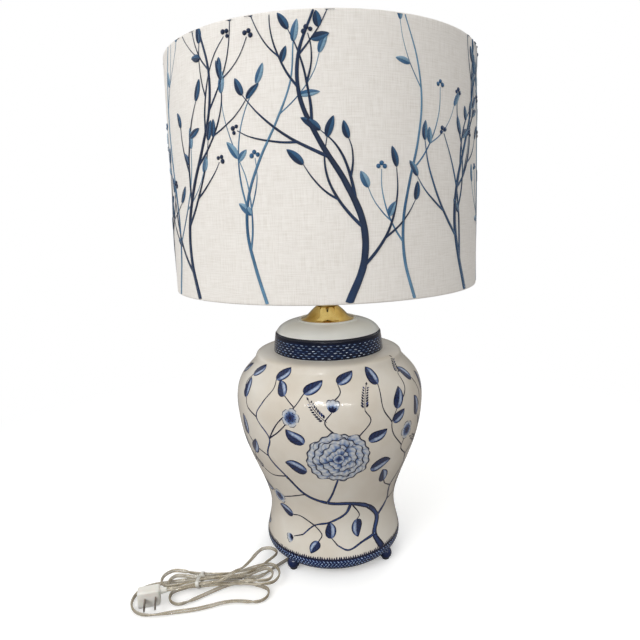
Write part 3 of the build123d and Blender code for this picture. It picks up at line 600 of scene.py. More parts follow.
def make_tie(line):
    """A paper-covered wire tie round the strands where they cross its plane, its ends twisted together."""
    x = (HANK[0] + TIE_X) * MM
    waist = HANK[1] * MM
    spots = []
    for a, b in zip(line[:-1], line[1:]):
        if (a[0] - x) * (b[0] - x) <= 0 and abs(a[0] - b[0]) > 1e-7 and abs(a[1] - waist) < TIE_REACH:
            t = (x - a[0]) / (b[0] - a[0])
            spots.append((a[1] + t * (b[1] - a[1]), a[2] + t * (b[2] - a[2])))
    ring = np.radians(np.arange(0, 360, 15))
    around = hull([(y + STRAND_REACH * math.cos(t), max(z + STRAND_REACH * math.sin(t), TIE_LOWEST))
                   for y, z in spots for t in ring])
    shut = np.concatenate([around, around[:1]])
    length = measure(shut)
    even = np.linspace(0, length[-1], 73)[:-1]
    loop = resample(shut, length, even)
    for _ in range(2):
        loop = (np.roll(loop, 1, 0) + loop * 2 + np.roll(loop, -1, 0)) / 4
    ahead = np.roll(loop, -1, 0) - np.roll(loop, 1, 0)
    out = unit(np.stack([ahead[:, 1], -ahead[:, 0]], 1))
    points = np.zeros((len(TIE_SECTION), len(loop), 3))
    for i, (dx, lift) in enumerate(np.array(TIE_SECTION) * MM):
        lean = 0.6 * MM * np.sin(even / length[-1] * 2 * math.pi * 2)
        points[i, :, 0] = x + dx + lean
        points[i, :, 1:] = loop + out * lift
    sheet = Sheet()
    sheet.grid(points, wrap=True)
    top = np.array((x, waist - 0.009, loop[:, 1].max() + 0.0006))
    turns = np.linspace(0, 1, 40)
    for sign in (0, math.pi):
        angle = turns * TWISTS * 2 * math.pi + sign
        spine = top + np.stack([turns * 0.013 - 0.005, -0.001 * turns,
                                0.0008 + 0.0052 * turns - 0.0035 * turns ** 2], 1)
        wide = np.stack([np.zeros(40), np.cos(angle), np.sin(angle)], 1)
        sheet.grid(np.stack([spine + wide * (0.0009 + 0.0008 * s) for s in (-1, -0.4, 0.4, 1)]))
    tie = sheet.make("hank_tie", "lamp", looks["white_plastic"], "white_plastic")
    thick = tie.modifiers.new("paper", "SOLIDIFY")
    thick.thickness = 0.0003
    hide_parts("cord_tie")
    return tie


lead, lead_line = make_lead()
tie = make_tie(lead_line)
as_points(lead_line)


# ------------------------------------------------------------------ surfaces that carry drawing
class Wall:
    """A surface of revolution to draw on: s runs up its profile in metres, angle runs round from the front."""

    def __init__(self, profile):
        self.r, self.z = np.array(profile).T
        self.s = measure(np.array(profile))
        along = unit(np.gradient(np.array(profile), self.s, axis=0))
        self.normal = np.stack([along[:, 1], -along[:, 0]], 1)

    def rise(self, z):
        """How far up the profile a height lies."""
        return np.interp(z, self.z, self.s)

    def radius(self, s):
        return np.interp(s, self.s, self.r)

    def at(self, angle, s, lift=0.0):
        out_r = np.interp(s, self.s, self.normal[:, 0])
        out_z = np.interp(s, self.s, self.normal[:, 1])
        reach = np.interp(s, self.s, self.r) + out_r * lift
        height = np.interp(s, self.s, self.z) + out_z * lift
        return np.stack([reach * np.sin(angle), -reach * np.cos(angle), height], -1)


def spline_through(points, step):
    """A smooth line through points of any size, in even steps."""
    points = np.array(points, float)
    first, last = 2 * points[0] - points[1], 2 * points[-1] - points[-2]
    full = np.concatenate([[first], points, [last]])
    out = []
    t = np.linspace(0, 1, 24, endpoint=False)[:, None]
    for a, b, c, d in zip(full[:-3], full[1:-2], full[2:-1], full[3:]):
        out.append(0.5 * (2 * b + (c - a) * t + (2 * a - 5 * b + 4 * c - d) * t ** 2
                          + (3 * b - a - 3 * c + d) * t ** 3))
    line = np.concatenate([*out, points[-1:]])
    length = measure(line)
    even = np.linspace(0, length[-1], max(3, int(length[-1] / step) + 1))
    return resample(line, length, even)


# ------------------------------------------------------------------ shade
SHADE_R, SHADE_LOW, SHADE_TOP = 203.2, 384.7, 677.4
HEM_R, HEM_HIGH, HEM_ROUND = 197.9, 7.0, 1.7
DRUM_RADIUS = SHADE_R * MM
LINEN_STEPS = 288


def shade_profile():
    """The linen's section: up inside the lower hem, round its wire, up the wall and in over the top."""
    def corner(r, z, start):
        turn = np.radians(np.linspace(start, start + 90, 6))
        return [(r + HEM_ROUND * math.cos(t), z + HEM_ROUND * math.sin(t)) for t in turn]

    low, top, inner, outer = SHADE_LOW, SHADE_TOP, HEM_R + HEM_ROUND, SHADE_R - HEM_ROUND
    rows = [(HEM_R, low + HEM_HIGH), (HEM_R, low + 4)]
    rows += corner(inner, low + HEM_ROUND, 180) + corner(outer, low + HEM_ROUND, 270)
    rows += [(SHADE_R, z) for z in np.linspace(low + 5, top - 5, 40)]
    rows += corner(outer, top - HEM_ROUND, 0) + corner(inner, top - HEM_ROUND, 90)
    rows += [(HEM_R, top - 4), (HEM_R, top - HEM_HIGH)]
    return np.array(rows) * MM


def make_linen():
    """The cover, drawn in over both hems, and its overlap at the back."""
    profile = shade_profile()
    angle = np.arange(LINEN_STEPS + 1) / LINEN_STEPS * 2 * math.pi
    length = measure(profile)
    rng = np.random.default_rng(7)
    wave = sum(rng.uniform(0.3, 1) * np.sin(k * angle + rng.uniform(0, 6)) for k in (2, 3, 5, 8, 13)) * 0.00008
    pull = smooth(length, 0.0, 0.02) * smooth(length[-1] - length, 0.0, 0.02)
    r = profile[:, :1] + wave[None] * pull[:, None]
    points = np.stack([r * np.sin(angle), -r * np.cos(angle), np.broadcast_to(profile[:, 1:], r.shape)], -1)
    flat = np.stack(np.broadcast_arrays(angle[None] * DRUM_RADIUS, length[:, None]), -1)
    sheet = Sheet()
    sheet.grid(points, flat=flat)
    cover = sheet.make("linen_cover", "shade", looks["linen"], "linen")
    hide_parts("shade_cover")

    # the overlap: one thickness of folded linen proud of the wall
    seam = Sheet()
    wall = Wall(profile[6:-8])
    across = np.array([-7, -6.6, -6, -2, 2, 6, 6.6, 7]) * MM
    proud = np.array([-0.1, 0.25, 0.42, 0.45, 0.45, 0.42, 0.25, -0.1]) * MM
    s = np.linspace(wall.s[0], wall.s[-1], 60)
    rows = np.stack([wall.at(math.pi + across / DRUM_RADIUS, np.full(8, h), proud) for h in s])
    flat = np.stack(np.broadcast_arrays((across + 2.0)[None], s[:, None]), -1)
    seam.grid(rows, flat=flat)
    fold = seam.make("linen_seam", "shade", looks["linen"], "linen")


NAVY, DEEP, MID, SKY, PALE = (16, 38, 70), (24, 54, 92), (44, 92, 132), (98, 142, 174), (136, 172, 196)
drum = Wall([(DRUM_RADIUS, z * MM) for z in np.linspace(SHADE_LOW + 1.8, SHADE_TOP - 1.8, 60)])


class Stitching:
    """Raised satin stitch on the drum: stems, leaves and buds in three blues."""

    def __init__(self, seed):
        self.sheet = Sheet()
        self.pick = random.Random(seed)

    def stem(self, line, widths, shades, height, lift=0.0):
        """A padded ribbon along a line of (across, up) in metres, darkened towards its sunk edges as painted shade.
        """
        count = len(line)
        v = np.array([-1, -0.92, -0.6, 0, 0.6, 0.92, 1])
        rise = np.array([-0.25, 0.35, 0.8, 1, 0.8, 0.35, -0.25])
        tremble = running_mean(draws(self.pick, 0.93, 1.07, count), min(5, count))
        half, spots = ribbon(line, widths, 1, v, tremble)
        thick = height * np.minimum(1, half / 0.0012)
        points = drum.at(spots[..., 0] / DRUM_RADIUS, spots[..., 1], lift + thick[:, None] * rise)
        shade = np.array([linear(c) for c in shades])
        base = resample(shade, range(len(shades)), np.linspace(0, len(shades) - 1, count))
        patch = running_mean(draws(self.pick, 0.82, 1.2, count), min(3, count))
        # the colour darkens towards the ribbon's rounded edges: painted shade
        colour = base[:, None] * patch[:, None, None] * (1 - 0.22 * np.abs(v)[None, :, None])
        step = measure(line)[:, None]
        across = half[:, None] * v
        self.sheet.grid(points, colour, np.stack([step + across * 0.45, across + 0 * step], -1))

    def leaf(self, spot, angle, length, width, shades, curl=0.0, lift=0.0):
        """Two halves of slanting stitches that meet at a sunk midrib."""
        t = np.linspace(0, 1, 17)[:, None]
        v = np.array([-1, -0.9, -0.55, -0.12, 0, 0.12, 0.55, 0.9, 1])
        wide = width / 2 * t ** 0.62 * (1 - t) ** 0.8 / 0.378
        bend = curl * length * t ** 2
        x, y = bend + wide * v, t * length + 0 * v
        across, up = turned(angle, x, y)
        rise = np.array([-0.2, 0.45, 1, 0.75, 0.3, 0.75, 1, 0.45, -0.2]) * 0.0007
        lifts = lift + rise * np.minimum(1, wide / 0.0015) - 0.0001 * (t > 0.97)
        points = drum.at((spot[0] + across) / DRUM_RADIUS, np.clip(spot[1] + up, drum.s[0], drum.s[-1]), lifts)
        mix = np.clip(0.5 + 0.4 * np.sign(v) + 0.35 * (t - 0.5), 0, 1) * draws(self.pick, 0.75, 1, 17)[:, None]
        # the sunk midrib is darkened by about a third as painted shade
        colour = blend(linear(shades[0]), linear(shades[1]), mix) * (1 - 0.35 * (np.abs(v) < 0.08))[:, None]
        self.sheet.grid(points, colour, np.stack([y - np.abs(x - bend) * 0.8, x], -1))

    def berry(self, spot, size, shade, lift=0.0):
        """A round knot of thread, painted lighter on its top and darker round its rim as painted highlight and shade.
        """
        ring = np.radians(np.arange(0, 360, 30))
        r = np.array([0.02, 0.35, 0.65, 0.88, 1.0]) * size / 2
        rise = np.array([1, 0.92, 0.72, 0.35, -0.15]) * size * 0.26 + lift
        x = spot[0] + r[:, None] * np.cos(ring)
        y = np.clip(spot[1] + r[:, None] * np.sin(ring), drum.s[0], drum.s[-1])
        points = drum.at(x / DRUM_RADIUS, y, rise[:, None] + 0 * x)
        # lighter at the crown and darker at the rim: painted highlight and painted shade
        colour = linear(shade) * np.array([1.25, 1.15, 1, 0.85, 0.7])[:, None, None] * np.ones((5, 12, 1))
        self.sheet.grid(points, colour, np.stack([x + y * 0.5, y], -1), wrap=True)


def heading_at(line, i):
    """The line's direction at one of its points, clockwise from straight up."""
    a, b = line[max(0, i - 1)], line[min(len(line) - 1, i + 1)]
    return math.atan2(b[0] - a[0], b[1] - a[1])


SCHEMES = {
    "navy": ((DEEP, NAVY, NAVY, DEEP), (NAVY, MID)),
    "mid": ((MID, DEEP, MID, MID), (DEEP, SKY)),
    "sky": ((SKY, MID, SKY, SKY), (MID, PALE)),
}
# a spray longer than this forks; this share of them ends in berries
FORK_LENGTH, BERRY_SHARE = 0.075, 0.32


def spray(work, start, turn, length, scheme, lift, curl, width=0.0022, leaves=3):
    """A curling side spray with leaves along it and berries or a leaf at its tip."""
    pick = work.pick
    stem_shades, leaf_shades = SCHEMES[scheme]
    points, heading, where = [np.array(start)], turn, np.array(start, float)
    steps = 5
    for k in range(steps):
        heading += curl / steps * (0.6 + 0.5 * k / steps) + pick.uniform(-0.06, 0.06)
        where = where + np.array([math.sin(heading), math.cos(heading)]) * length / steps
        points.append(where.copy())
    line = spline_through(points, 0.0022)
    inside = (line[:, 1] < drum.s[-1]) & (line[:, 1] > drum.s[0])
    if not inside.all():
        line = line[:int(np.argmin(inside))]
    if len(line) < 5:
        return
    work.stem(line, [width, width * 0.8, width * 0.6, 0.0009], stem_shades, 0.0006, lift)
    if length > FORK_LENGTH:
        i = int(len(line) * pick.uniform(0.3, 0.5))
        away = -math.copysign(pick.uniform(0.45, 0.7), curl)
        spray(work, line[i], heading_at(line, i) + away, length * pick.uniform(0.45, 0.62), scheme, lift,
              -away * 1.2, width * 0.7, 0)
    side = pick.choice((-1, 1))
    for k in range(leaves):
        i = int(len(line) * (0.38 + 0.5 * k / max(1, leaves)))
        if i >= len(line) - 1:
            continue
        away = heading_at(line, i) + side * pick.uniform(0.5, 0.85)
        work.leaf(line[i], away, pick.uniform(0.015, 0.022), pick.uniform(0.0065, 0.009), leaf_shades,
                  side * pick.uniform(-0.05, 0.2), lift + 0.0001)
        side = -side
    tip, end = line[-1], heading_at(line, len(line) - 1)
    if pick.random() < BERRY_SHARE:
        for offset in (0, 0.9, -0.9):
            reach = 0.0045 if offset else 0.006
            spot = tip + np.array([math.sin(end + offset), math.cos(end + offset)]) * reach
            if spot[1] < drum.s[-1] - 0.002:
                work.berry(spot, pick.uniform(0.0042, 0.0055), leaf_shades[0], lift + 0.0001)
    else:
        work.leaf(tip, end + pick.uniform(-0.2, 0.2), pick.uniform(0.018, 0.024), pick.uniform(0.007, 0.009),
                  leaf_shades, pick.uniform(-0.2, 0.2), lift + 0.0001)


def stitched_vine(work, across, scheme, widths, sway, lift, top, sprays, lean=0.0, phase=0.0):
    """A main stem that sways up the drum, with sprays curling off both sides in turn."""
    pick = work.pick
    height = (drum.s[-1] - drum.s[0]) * top
    rows = []
    for k in range(8):
        t = k / 7
        rows.append((across + lean * t + sway * math.sin(phase + t * 2 * math.pi * 0.9), height * t))
    line = spline_through(rows, 0.0025)
    line = line[(line[:, 1] <= drum.s[-1]) & (line[:, 1] >= drum.s[0])]
    stem_shades, leaf_shades = SCHEMES[scheme]
    work.stem(line, widths, stem_shades, 0.0009, lift)
    side = pick.choice((-1, 1))
    for k in range(sprays):
        t = 0.1 + 0.82 * (k + pick.uniform(0, 0.6)) / sprays
        i = min(len(line) - 2, int(len(line) * t))
        turn = heading_at(line, i) + side * pick.uniform(0.45, 0.75)
        local = np.interp(t, np.linspace(0, 1, len(widths)), widths)
        spray(work, line[i], turn, pick.uniform(0.075, 0.135) * (1.15 - 0.45 * t), scheme, lift + 0.00005,
              -side * pick.uniform(0.5, 1.5), min(0.0038, local * 0.66), pick.choice((0, 1, 1, 2)))
        side = -side
    if top < 0.98:
        work.leaf(line[-1], heading_at(line, len(line) - 1), 0.022, 0.008, leaf_shades, 0.1, lift)


def embroider():
    """Eight strong stems round the drum over eight lighter ones."""
    far, near = Stitching(11), Stitching(29)
    # degrees from the front, sway in metres and its phase, lean to one side, height as a share of the drum's
    for turn, sway, phase, lean, top in (
            (-64, 0.016, 0.4, 0.02, 1.0), (-21, 0.02, 2.6, 0.03, 0.9), (30, 0.018, 3.6, -0.02, 1.0),
            (74, 0.016, 0.9, 0.01, 0.86), (118, 0.02, 2.0, -0.02, 1.0), (164, 0.018, 0.2, 0.02, 0.9),
            (-108, 0.017, 2.9, 0.01, 1.0), (-152, 0.02, 1.2, -0.02, 0.88)):
        stitched_vine(far, math.radians(turn) * DRUM_RADIUS, "sky", [0.0042, 0.0036, 0.0026, 0.0014], sway, 0.0,
                      top, 3, lean, phase)
    # the same, with the width at the foot in millimetres; each reaches the top
    for turn, scheme, sway, phase, lean, wide in (
            (-44, "navy", 0.024, 3.4, 0.01, 6.4), (4, "navy", 0.03, 0.3, -0.01, 8.6),
            (52, "mid", 0.024, 2.9, 0.012, 6.6), (96, "navy", 0.028, 0.8, -0.01, 7.2),
            (141, "mid", 0.024, 3.7, 0.012, 6.4), (-172, "navy", 0.028, 1.0, -0.012, 7.4),
            (-129, "mid", 0.024, 3.1, 0.01, 6.4), (-86, "navy", 0.026, 0.5, -0.01, 7.0)):
        widths = [wide * MM, wide * 0.8 * MM, wide * 0.55 * MM, 0.0024]
        stitched_vine(near, math.radians(turn) * DRUM_RADIUS, scheme, widths, sway, 0.00035, 1.0, 7, lean, phase)
    far.sheet.make("embroidery_light", "shade", thread, "linen")
    near.sheet.make("embroidery_dark", "shade", thread, "linen")


make_linen()
embroider()


# ------------------------------------------------------------------ painted jar
# the profile is read this many radians round from +X, clear of the feet
RAY_TURN = 0.13


def mesh_profile(node, centre_z, low, high, count):
    """The outer section of a turned node, read along rays that point at its axis from between the feet."""
    mesh = nodes[node].data
    tree = BVHTree.FromPolygons([v.co for v in mesh.vertices], [p.vertices for p in mesh.polygons])
    rows = []
    for turn in np.radians(np.linspace(low, high, count)):
        ray = Vector((math.cos(turn), 0, math.sin(turn)))
        ray = Vector((ray.x * math.cos(RAY_TURN), ray.x * math.sin(RAY_TURN), ray.z))
        hit = tree.ray_cast(Vector((0, 0, centre_z)) + ray * 0.4, -ray)[0]
        rows.append((math.hypot(hit.x, hit.y), hit.z))
    return rows


jar = Wall(mesh_profile("jar_body", 0.15, -57.5, 58.4, 150))
lid = Wall(mesh_profile("jar_lid", 0.29, 0.9, 20.6, 90))
INK, COBALT, WASH, LIGHT, FAINT = (8, 18, 52), (20, 38, 88), (50, 76, 130), (112, 138, 180), (178, 192, 212)
GROUND = (226, 222, 210)
# strokes are laid out as on a wall of this radius; each band has this many patches of wash round it
TRACK_RADIUS = 0.12
BAND_PATCHES, TEETH = 60, 190


class Brush:
    """Strokes of cobalt laid just over the glaze, with the wash in each point's colour."""

    def __init__(self, wall, seed, lift=0.00012):
        self.wall, self.lift = wall, lift
        self.sheet = Sheet()
        self.pick = random.Random(seed)

    def put(self, angle, s, colours, lift=0.0):
        points = self.wall.at(angle, np.clip(s, self.wall.s[0], self.wall.s[-1]), self.lift + lift)
        self.sheet.grid(points, colours)

    def line(self, route, widths, edge=INK, heart=None, lift=0.0):
        """A stroke along (degrees, height in mm) points, darker where the paint pools at its edges."""
        track = [(math.radians(a) * TRACK_RADIUS, self.wall.rise(z * MM)) for a, z in route]
        line = spline_through(track, 0.0013)
        count = len(line)
        tremble = running_mean(draws(self.pick, 0.72, 1.28, count), min(7, count))
        _, spots = ribbon(line, widths, MM, np.array([-1, -0.7, -0.25, 0.25, 0.7, 1]), tremble)
        # the stroke's width stays true where the wall is narrower than the track's radius
        angle = spots[..., 0] / TRACK_RADIUS
        middle = angle.mean(1, keepdims=True)
        angle = middle + (angle - middle) * (TRACK_RADIUS / self.wall.radius(spots[:, :1, 1]))
        flow = running_mean(draws(self.pick, 0, 1, count), min(9, count))
        inner = blend(linear(heart or edge), linear(edge), np.clip(flow * 1.6 - 0.4, 0, 1))
        colours = np.repeat(inner[:, None], 6, 1)
        colours[:, (0, 1, -2, -1)] = linear(edge)
        self.put(angle, spots[..., 1], colours, lift)

    def patch(self, angle, z, turn, x, y, colours, lift=0.0):
        """A grid of points drawn about a spot and turned clockwise by an angle."""
        across, up = turned(turn, x, y)
        height = np.clip(self.wall.rise(z * MM) + up, self.wall.s[0] + 1e-4, self.wall.s[-1] - 1e-4)
        self.put(math.radians(angle) + across / self.wall.radius(height), height, colours, lift)

    def leaf(self, angle, z, turn, length, width, curl=0.15, lift=0.00003):
        """Outline and midrib in dark blue, one half washed deep, the other with a light streak."""
        t, v = np.linspace(0, 1, 24)[:, None], np.linspace(-1, 1, 17)
        wide = width * MM / 2 * t ** 0.55 * (1 - t) ** 0.85 / 0.335
        x = curl * length * MM * np.sin(t * math.pi * 0.8) * t + wide * v
        y = np.broadcast_to(t * length * MM, x.shape)
        veins = 0.5 + 0.5 * np.sin((t - np.abs(v) * 0.28) * 34)
        tone = 0.46 + 0.24 * np.sign(v) + draws(self.pick, -0.14, 0.14, 24, 17) * 0.7 - 0.2 * veins * (v < 0)
        tone += 0.34 * np.exp(-((v - 0.42) / 0.2) ** 2) * smooth(t, 0.12, 0.3) * (1 - smooth(t, 0.6, 0.85))
        edge = np.maximum(smooth(np.abs(v), 0.7, 0.84), smooth(t, 0.86, 0.95))
        edge = np.maximum(edge, 1 - smooth(np.abs(v), 0.05, 0.13))
        tone = np.clip(tone, 0, 1) * (1 - edge)
        colours = blend(linear(INK), linear(WASH), np.clip(tone * 1.9, 0, 1))
        colours = blend(colours, linear(FAINT), np.clip((tone - 0.62) * 2.6, 0, 1))
        self.patch(angle, z, turn, x, y, colours, lift)

    def dab(self, angle, z, turn, length, width, colour=INK, x0=0.0, y0=0.0, lift=0.00004):
        """One touch of the brush: round at its foot, pointed at its tip."""
        t, v = np.linspace(0, 1, 8)[:, None], np.array([-1, -0.5, 0, 0.5, 1])
        wide = width * MM / 2 * np.sin(math.pi * t ** 0.75) ** 0.75
        across, up = turned(turn, wide * v, t * length * MM)
        shade = linear(colour) * self.pick.uniform(0.85, 1.35)
        self.patch(angle, z, 0, across + x0 * MM, up + y0 * MM, np.broadcast_to(shade, (8, 5, 3)), lift)

    def hair(self, angle, z, turn, x, y, half, lift):
        """A fine line of ink through points about a spot."""
        colours = np.broadcast_to(linear(INK), (len(x), 3, 3))
        self.patch(angle, z, turn, np.stack([x - half, x, x + half], 1), np.stack([y] * 3, 1), colours, lift)

    def sprig(self, angle, z, turn, length, bend=0.3, count=8):
        """A fine stalk with pairs of small touches growing shorter to its tip."""
        t = np.linspace(0, 1, 20)
        self.hair(angle, z, turn, bend * length * MM * t ** 2, length * MM * t, 0.00045, 0.00002)
        for k in range(count):
            at = 0.16 + 0.8 * k / count
            lean = math.atan(2 * bend * at)
            size = 1 - 0.38 * at
            for way in (-1, 1):
                x0, y0 = turned(turn, bend * length * at ** 2 + way * 1.5, length * at)
                shade = self.pick.choice((INK, COBALT, INK))
                self.dab(angle, z, turn + lean + way * 0.8, 5.6 * size, 2.9 * size, shade, x0, y0)
        x0, y0 = turned(turn, bend * length, length)
        self.dab(angle, z, turn + math.atan(2 * bend), 4.6, 2.4, INK, x0, y0)

    def petal(self, angle, z, turn, foot, length, width, ruffle=0.06, waves=3, deep=0.5, lift=0.0):
        """A broad petal: outline, wash that deepens to its foot, and fine streaks along it."""
        t, v = np.linspace(0, 1, 18)[:, None], np.linspace(-1, 1, 21)
        round_v = np.sqrt(np.maximum(0, 1 - np.abs(v) ** 2.6))
        reach = (0.62 + 0.38 * round_v) * (1 + ruffle * np.cos(v * math.pi * waves + self.pick.uniform(0, 1)))
        wide = width * MM / 2 * (0.34 + 0.66 * np.sin(np.clip(t * 0.62 + 0.05, 0, 1) * math.pi))
        x = wide * v * (1 - 0.12 * (1 - t))
        y = foot * MM + t * length * MM * reach
        streak = 0.5 + 0.5 * np.sin(v * 19 + np.sin(t * 4) * 1.2)
        grain = draws(self.pick, -0.08, 0.08, 18, 21)
        tone = np.clip(smooth(t, 0.02, 0.75) - deep * 0.5 * streak * (1 - 0.6 * t) + grain, 0, 1)
        edge = np.maximum(smooth(t, 0.88, 0.95), smooth(np.abs(v), 0.88, 0.96))
        colours = blend(linear(COBALT), linear(LIGHT), np.clip(tone * 1.35, 0, 1))
        colours = blend(colours, linear(GROUND), np.clip((tone - 0.62) * 1.9, 0, 0.72))
        self.patch(angle, z, turn, x, y, blend(colours, linear(INK), edge), lift)

    def blossom(self, angle, z, size, turn=0.0):
        """Five round petals, a dark heart and dotted stamens."""
        for k in range(5):
            self.petal(angle, z, turn + k * math.tau / 5, 0.07 * size, 0.44 * size, 0.5 * size, 0.03, 2, 0.5,
                       0.00004 + k * 0.000012)
        for k in range(10):
            way = turn + k * math.tau / 10 + 0.2
            reach = size * (0.17 if k % 2 else 0.25)
            self.dab(angle, z, way, size * 0.07 + 0.4, size * 0.045 + 0.3, INK, math.sin(way) * reach,
                     math.cos(way) * reach, 0.00013)
        for k in range(5):
            self.dab(angle, z, k * 1.26, size * 0.11, size * 0.08, INK, 0, 0, 0.00014)

    def bud(self, angle, z, turn, size):
        """Three petals still folded, held by a dark calyx."""
        for k, way in enumerate((-0.42, 0.42, 0)):
            self.petal(angle, z, turn + way, 0, size, size * 0.62, 0.02, 1, 0.7, 0.00004 + k * 0.00002)
        for way in (-0.7, 0, 0.7):
            self.dab(angle, z, turn + way, size * 0.5, size * 0.24, INK, 0, 0, 0.00011)

    def peony(self, angle, z, size, turn=0.0):
        """A full flower seen a little from the side: three rings of ruffled petals round a closed heart."""
        half = size / 2
        rings = ((8, 0.44, 0.56, 0.60, 0.05, 0.0), (7, 0.27, 0.52, 0.56, 0.06, 0.4), (5, 0.10, 0.46, 0.52, 0.07, 0.1),
                 (4, 0.0, 0.34, 0.40, 0.07, 0.7))
        lift = 0.00003
        for count, foot, length, width, ruffle, phase in rings:
            for k in range(count):
                way = turn + phase + k * math.tau / count
                squash = 0.82 + 0.18 * abs(math.sin(way))
                self.petal(angle, z, way, foot * half * squash, length * half * 1.1 * squash, width * size * 0.92,
                           ruffle, 3, 0.8, lift)
                lift += 0.000008
        for k in range(5):
            way = turn + k * 1.3
            self.petal(angle, z, way, 0, 0.16 * half + 1, 0.22 * half + 1.5, 0.05, 2, 1.0, lift)
            lift += 0.000008

    def butterfly(self, angle, z, size, turn):
        """Four spotted wings, a body and two feelers."""
        lift = 0.00004
        for way, length, width in ((-0.95, 0.62, 0.42), (0.95, 0.62, 0.42), (-2.1, 0.42, 0.34), (2.1, 0.42, 0.34)):
            self.petal(angle, z, turn + way, 0.03 * size, length * size, width * size, 0.05, 3, 1.0, lift)
            lift += 0.00001
            for k in (-0.16, 0.16):
                x0, y0 = turned(turn + way + k, 0, length * size * 0.68)
                self.dab(angle, z, turn + way + k, size * 0.09, size * 0.06, INK, x0, y0, 0.0001)
        x0, y0 = turned(turn, 0, size * 0.1)
        self.dab(angle, z, turn + math.pi, size * 0.42, size * 0.085, INK, x0, y0, 0.00012)
        t = np.linspace(0, 1, 12)
        for way in (-0.35, 0.35):
            x = np.sin(way * 1.6 * t) * size * 0.3 * t * MM
            self.hair(angle, z, turn, x, (size * 0.1 + size * 0.3 * t) * MM, 0.0002, 0.00012)


def branch(brush, turn, limbs, twigs):
    """Wooden limbs, then twigs with what grows on them, all turned round the jar by an angle."""
    for widths, *route in limbs:
        brush.line([(a + turn, z) for a, z in route], widths, INK, WASH)
    for route, widths, *ends in twigs:
        brush.line([(a + turn, z) for a, z in route], widths)
        for kind, a, *values in ends:
            getattr(brush, kind)(a + turn, *values)


def knots(brush, turn, limb):
    """Small swellings with a pale eye, as old wood has, at every other point of a limb."""
    for a, z in limb[2::2]:
        brush.dab(a + turn, z, brush.pick.uniform(0, 3), 5.6, 4.2, INK, -1.4, -2.4, 0.00003)
        brush.dab(a + turn, z, brush.pick.uniform(0, 3), 2.4, 1.5, LIGHT, -0.4, -0.9, 0.00006)


# a limb: its widths in mm, then its points in degrees round the jar and mm up it
FRONT_LIMBS = (
    ((9.5, 7.8, 6.8, 5.6, 4.4, 3.4), (43, 26), (37, 48), (41, 70), (30, 92), (14, 104), (-4, 108), (-20, 120),
     (-31, 146)),
    ((3.4, 2.8, 2.2, 1.6), (-31, 146), (-41, 172), (-37, 200), (-46, 224), (-41, 246)),
    ((5.6, 4.2, 3.2, 2.2), (41, 70), (53, 88), (51, 112), (60, 136), (56, 158)),
    ((4.4, 3.2, 2.4, 1.7), (14, 104), (10, 88), (-3, 76), (-16, 70), (-27, 54)),
    ((3.2, 2.8, 2.6), (-4, 108), (0, 124), (4, 150)),
    ((4.2, 3.0, 1.8), (37, 48), (25, 44), (12, 37), (3, 44)),
)
# a twig: its points, its widths, then what grows on it, where, which way and how large
FINE, FINER, THIN = (2.2, 1.5), (1.8, 1.3), (1.7, 1.3)
FRONT_TWIGS = (
    (((-37, 200), (-30, 212), (-24, 226)), FINE, ("blossom", -22, 233, 24, 0.3)),
    (((-41, 246), (-36, 262), (-37, 273)), THIN, ("leaf", -37, 272, 0.6, 25, 13)),
    (((-46, 224), (-55, 232), (-58, 244)), FINE, ("leaf", -58, 243, -0.4, 28, 14)),
    (((-41, 172), (-52, 180), (-59, 192)), FINE, ("leaf", -59, 191, -0.4, 29, 15)),
    (((-31, 146), (-44, 140), (-52, 144)), FINE, ("sprig", -51, 143, -0.8, 34, -0.2)),
    (((-20, 120), (-34, 110), (-43, 104)), FINE, ("blossom", -48, 102, 23, 0.1)),
    (((-16, 70), (-28, 80), (-36, 79)), FINE, ("leaf", -36, 79, -1.4, 26, 13)),
    (((-27, 54), (-36, 48)), THIN, ("bud", -37, 47, -2.1, 11)),
    (((-16, 70), (-10, 58), (-13, 48)), FINER, ("leaf", -13, 49, -2.7, 20, 11)),
    (((3, 44), (-2, 54)), FINER, ("leaf", -2, 53, -0.2, 24, 13)),
    (((14, 104), (22, 84), (20, 76)), (1.9, 1.4), ("leaf", 20, 77, 3.0, 26, 13)),
    (((53, 88), (64, 90), (70, 98)), FINE, ("leaf", 70, 97, 0.5, 26, 13)),
    (((60, 136), (69, 142), (74, 152)), FINE, ("sprig", 73, 150, 0.4, 34, 0.2)),
    (((51, 112), (42, 122), (39, 130)), FINE, ("leaf", 39, 129, -0.5, 25, 13)),
    (((56, 158), (47, 174), (49, 190)), (2.1, 1.7, 1.4), ("blossom", 50, 198, 25, 0.9)),
    (((56, 158), (66, 176), (67, 196), (62, 212)), (2.1, 1.8, 1.4), ("leaf", 62, 211, -0.4, 30, 15),
     ("bud", 67.5, 194, 0.9, 12)),
    (((47, 178), (38, 200), (36, 218), (40, 234)), (1.8, 1.6, 1.3), ("leaf", 40, 233, 0.3, 29, 15),
     ("leaf", 37, 217, 0.95, 25, 13)),
    (((3, 212), (-3, 228), (1, 242)), (2.0, 1.6, 1.4), ("bud", 1, 242, 0.15, 15),
     ("sprig", -2, 230, -0.95, 33, 0.25)),
    (((15, 208), (22, 226), (19, 240)), (1.9, 1.5, 1.3), ("sprig", 19, 239, 0.0, 32, 0.25)),
    (((-37, 200), (-30, 224), (-20, 246), (-15, 262)), (2.0, 1.6, 1.3), ("leaf", -15, 261, 0.7, 28, 14)),
    (((62, 212), (67, 236), (63, 260)), FINER, ("leaf", 63, 259, -0.7, 27, 14)),
    (((1, 252), (6, 262), (5, 272)), (1.6, 1.2), ("leaf", 5, 271, 0.8, 26, 13)),
    (((36, 218), (30, 240), (31, 267)), FINER, ("leaf", 31, 266, -0.4, 27, 14)),
    (((-20, 246), (-27, 258)), (1.6, 1.2), ("leaf", -27, 257, -0.7, 24, 12)),
    (((40, 234), (50, 252), (52, 270)), FINER, ("sprig", 52, 269, 0.5, 25, -0.2, 6)),
    (((-58, 244), (-64, 258), (-62, 270)), THIN, ("leaf", -62, 269, 0.6, 26, 13)),
)
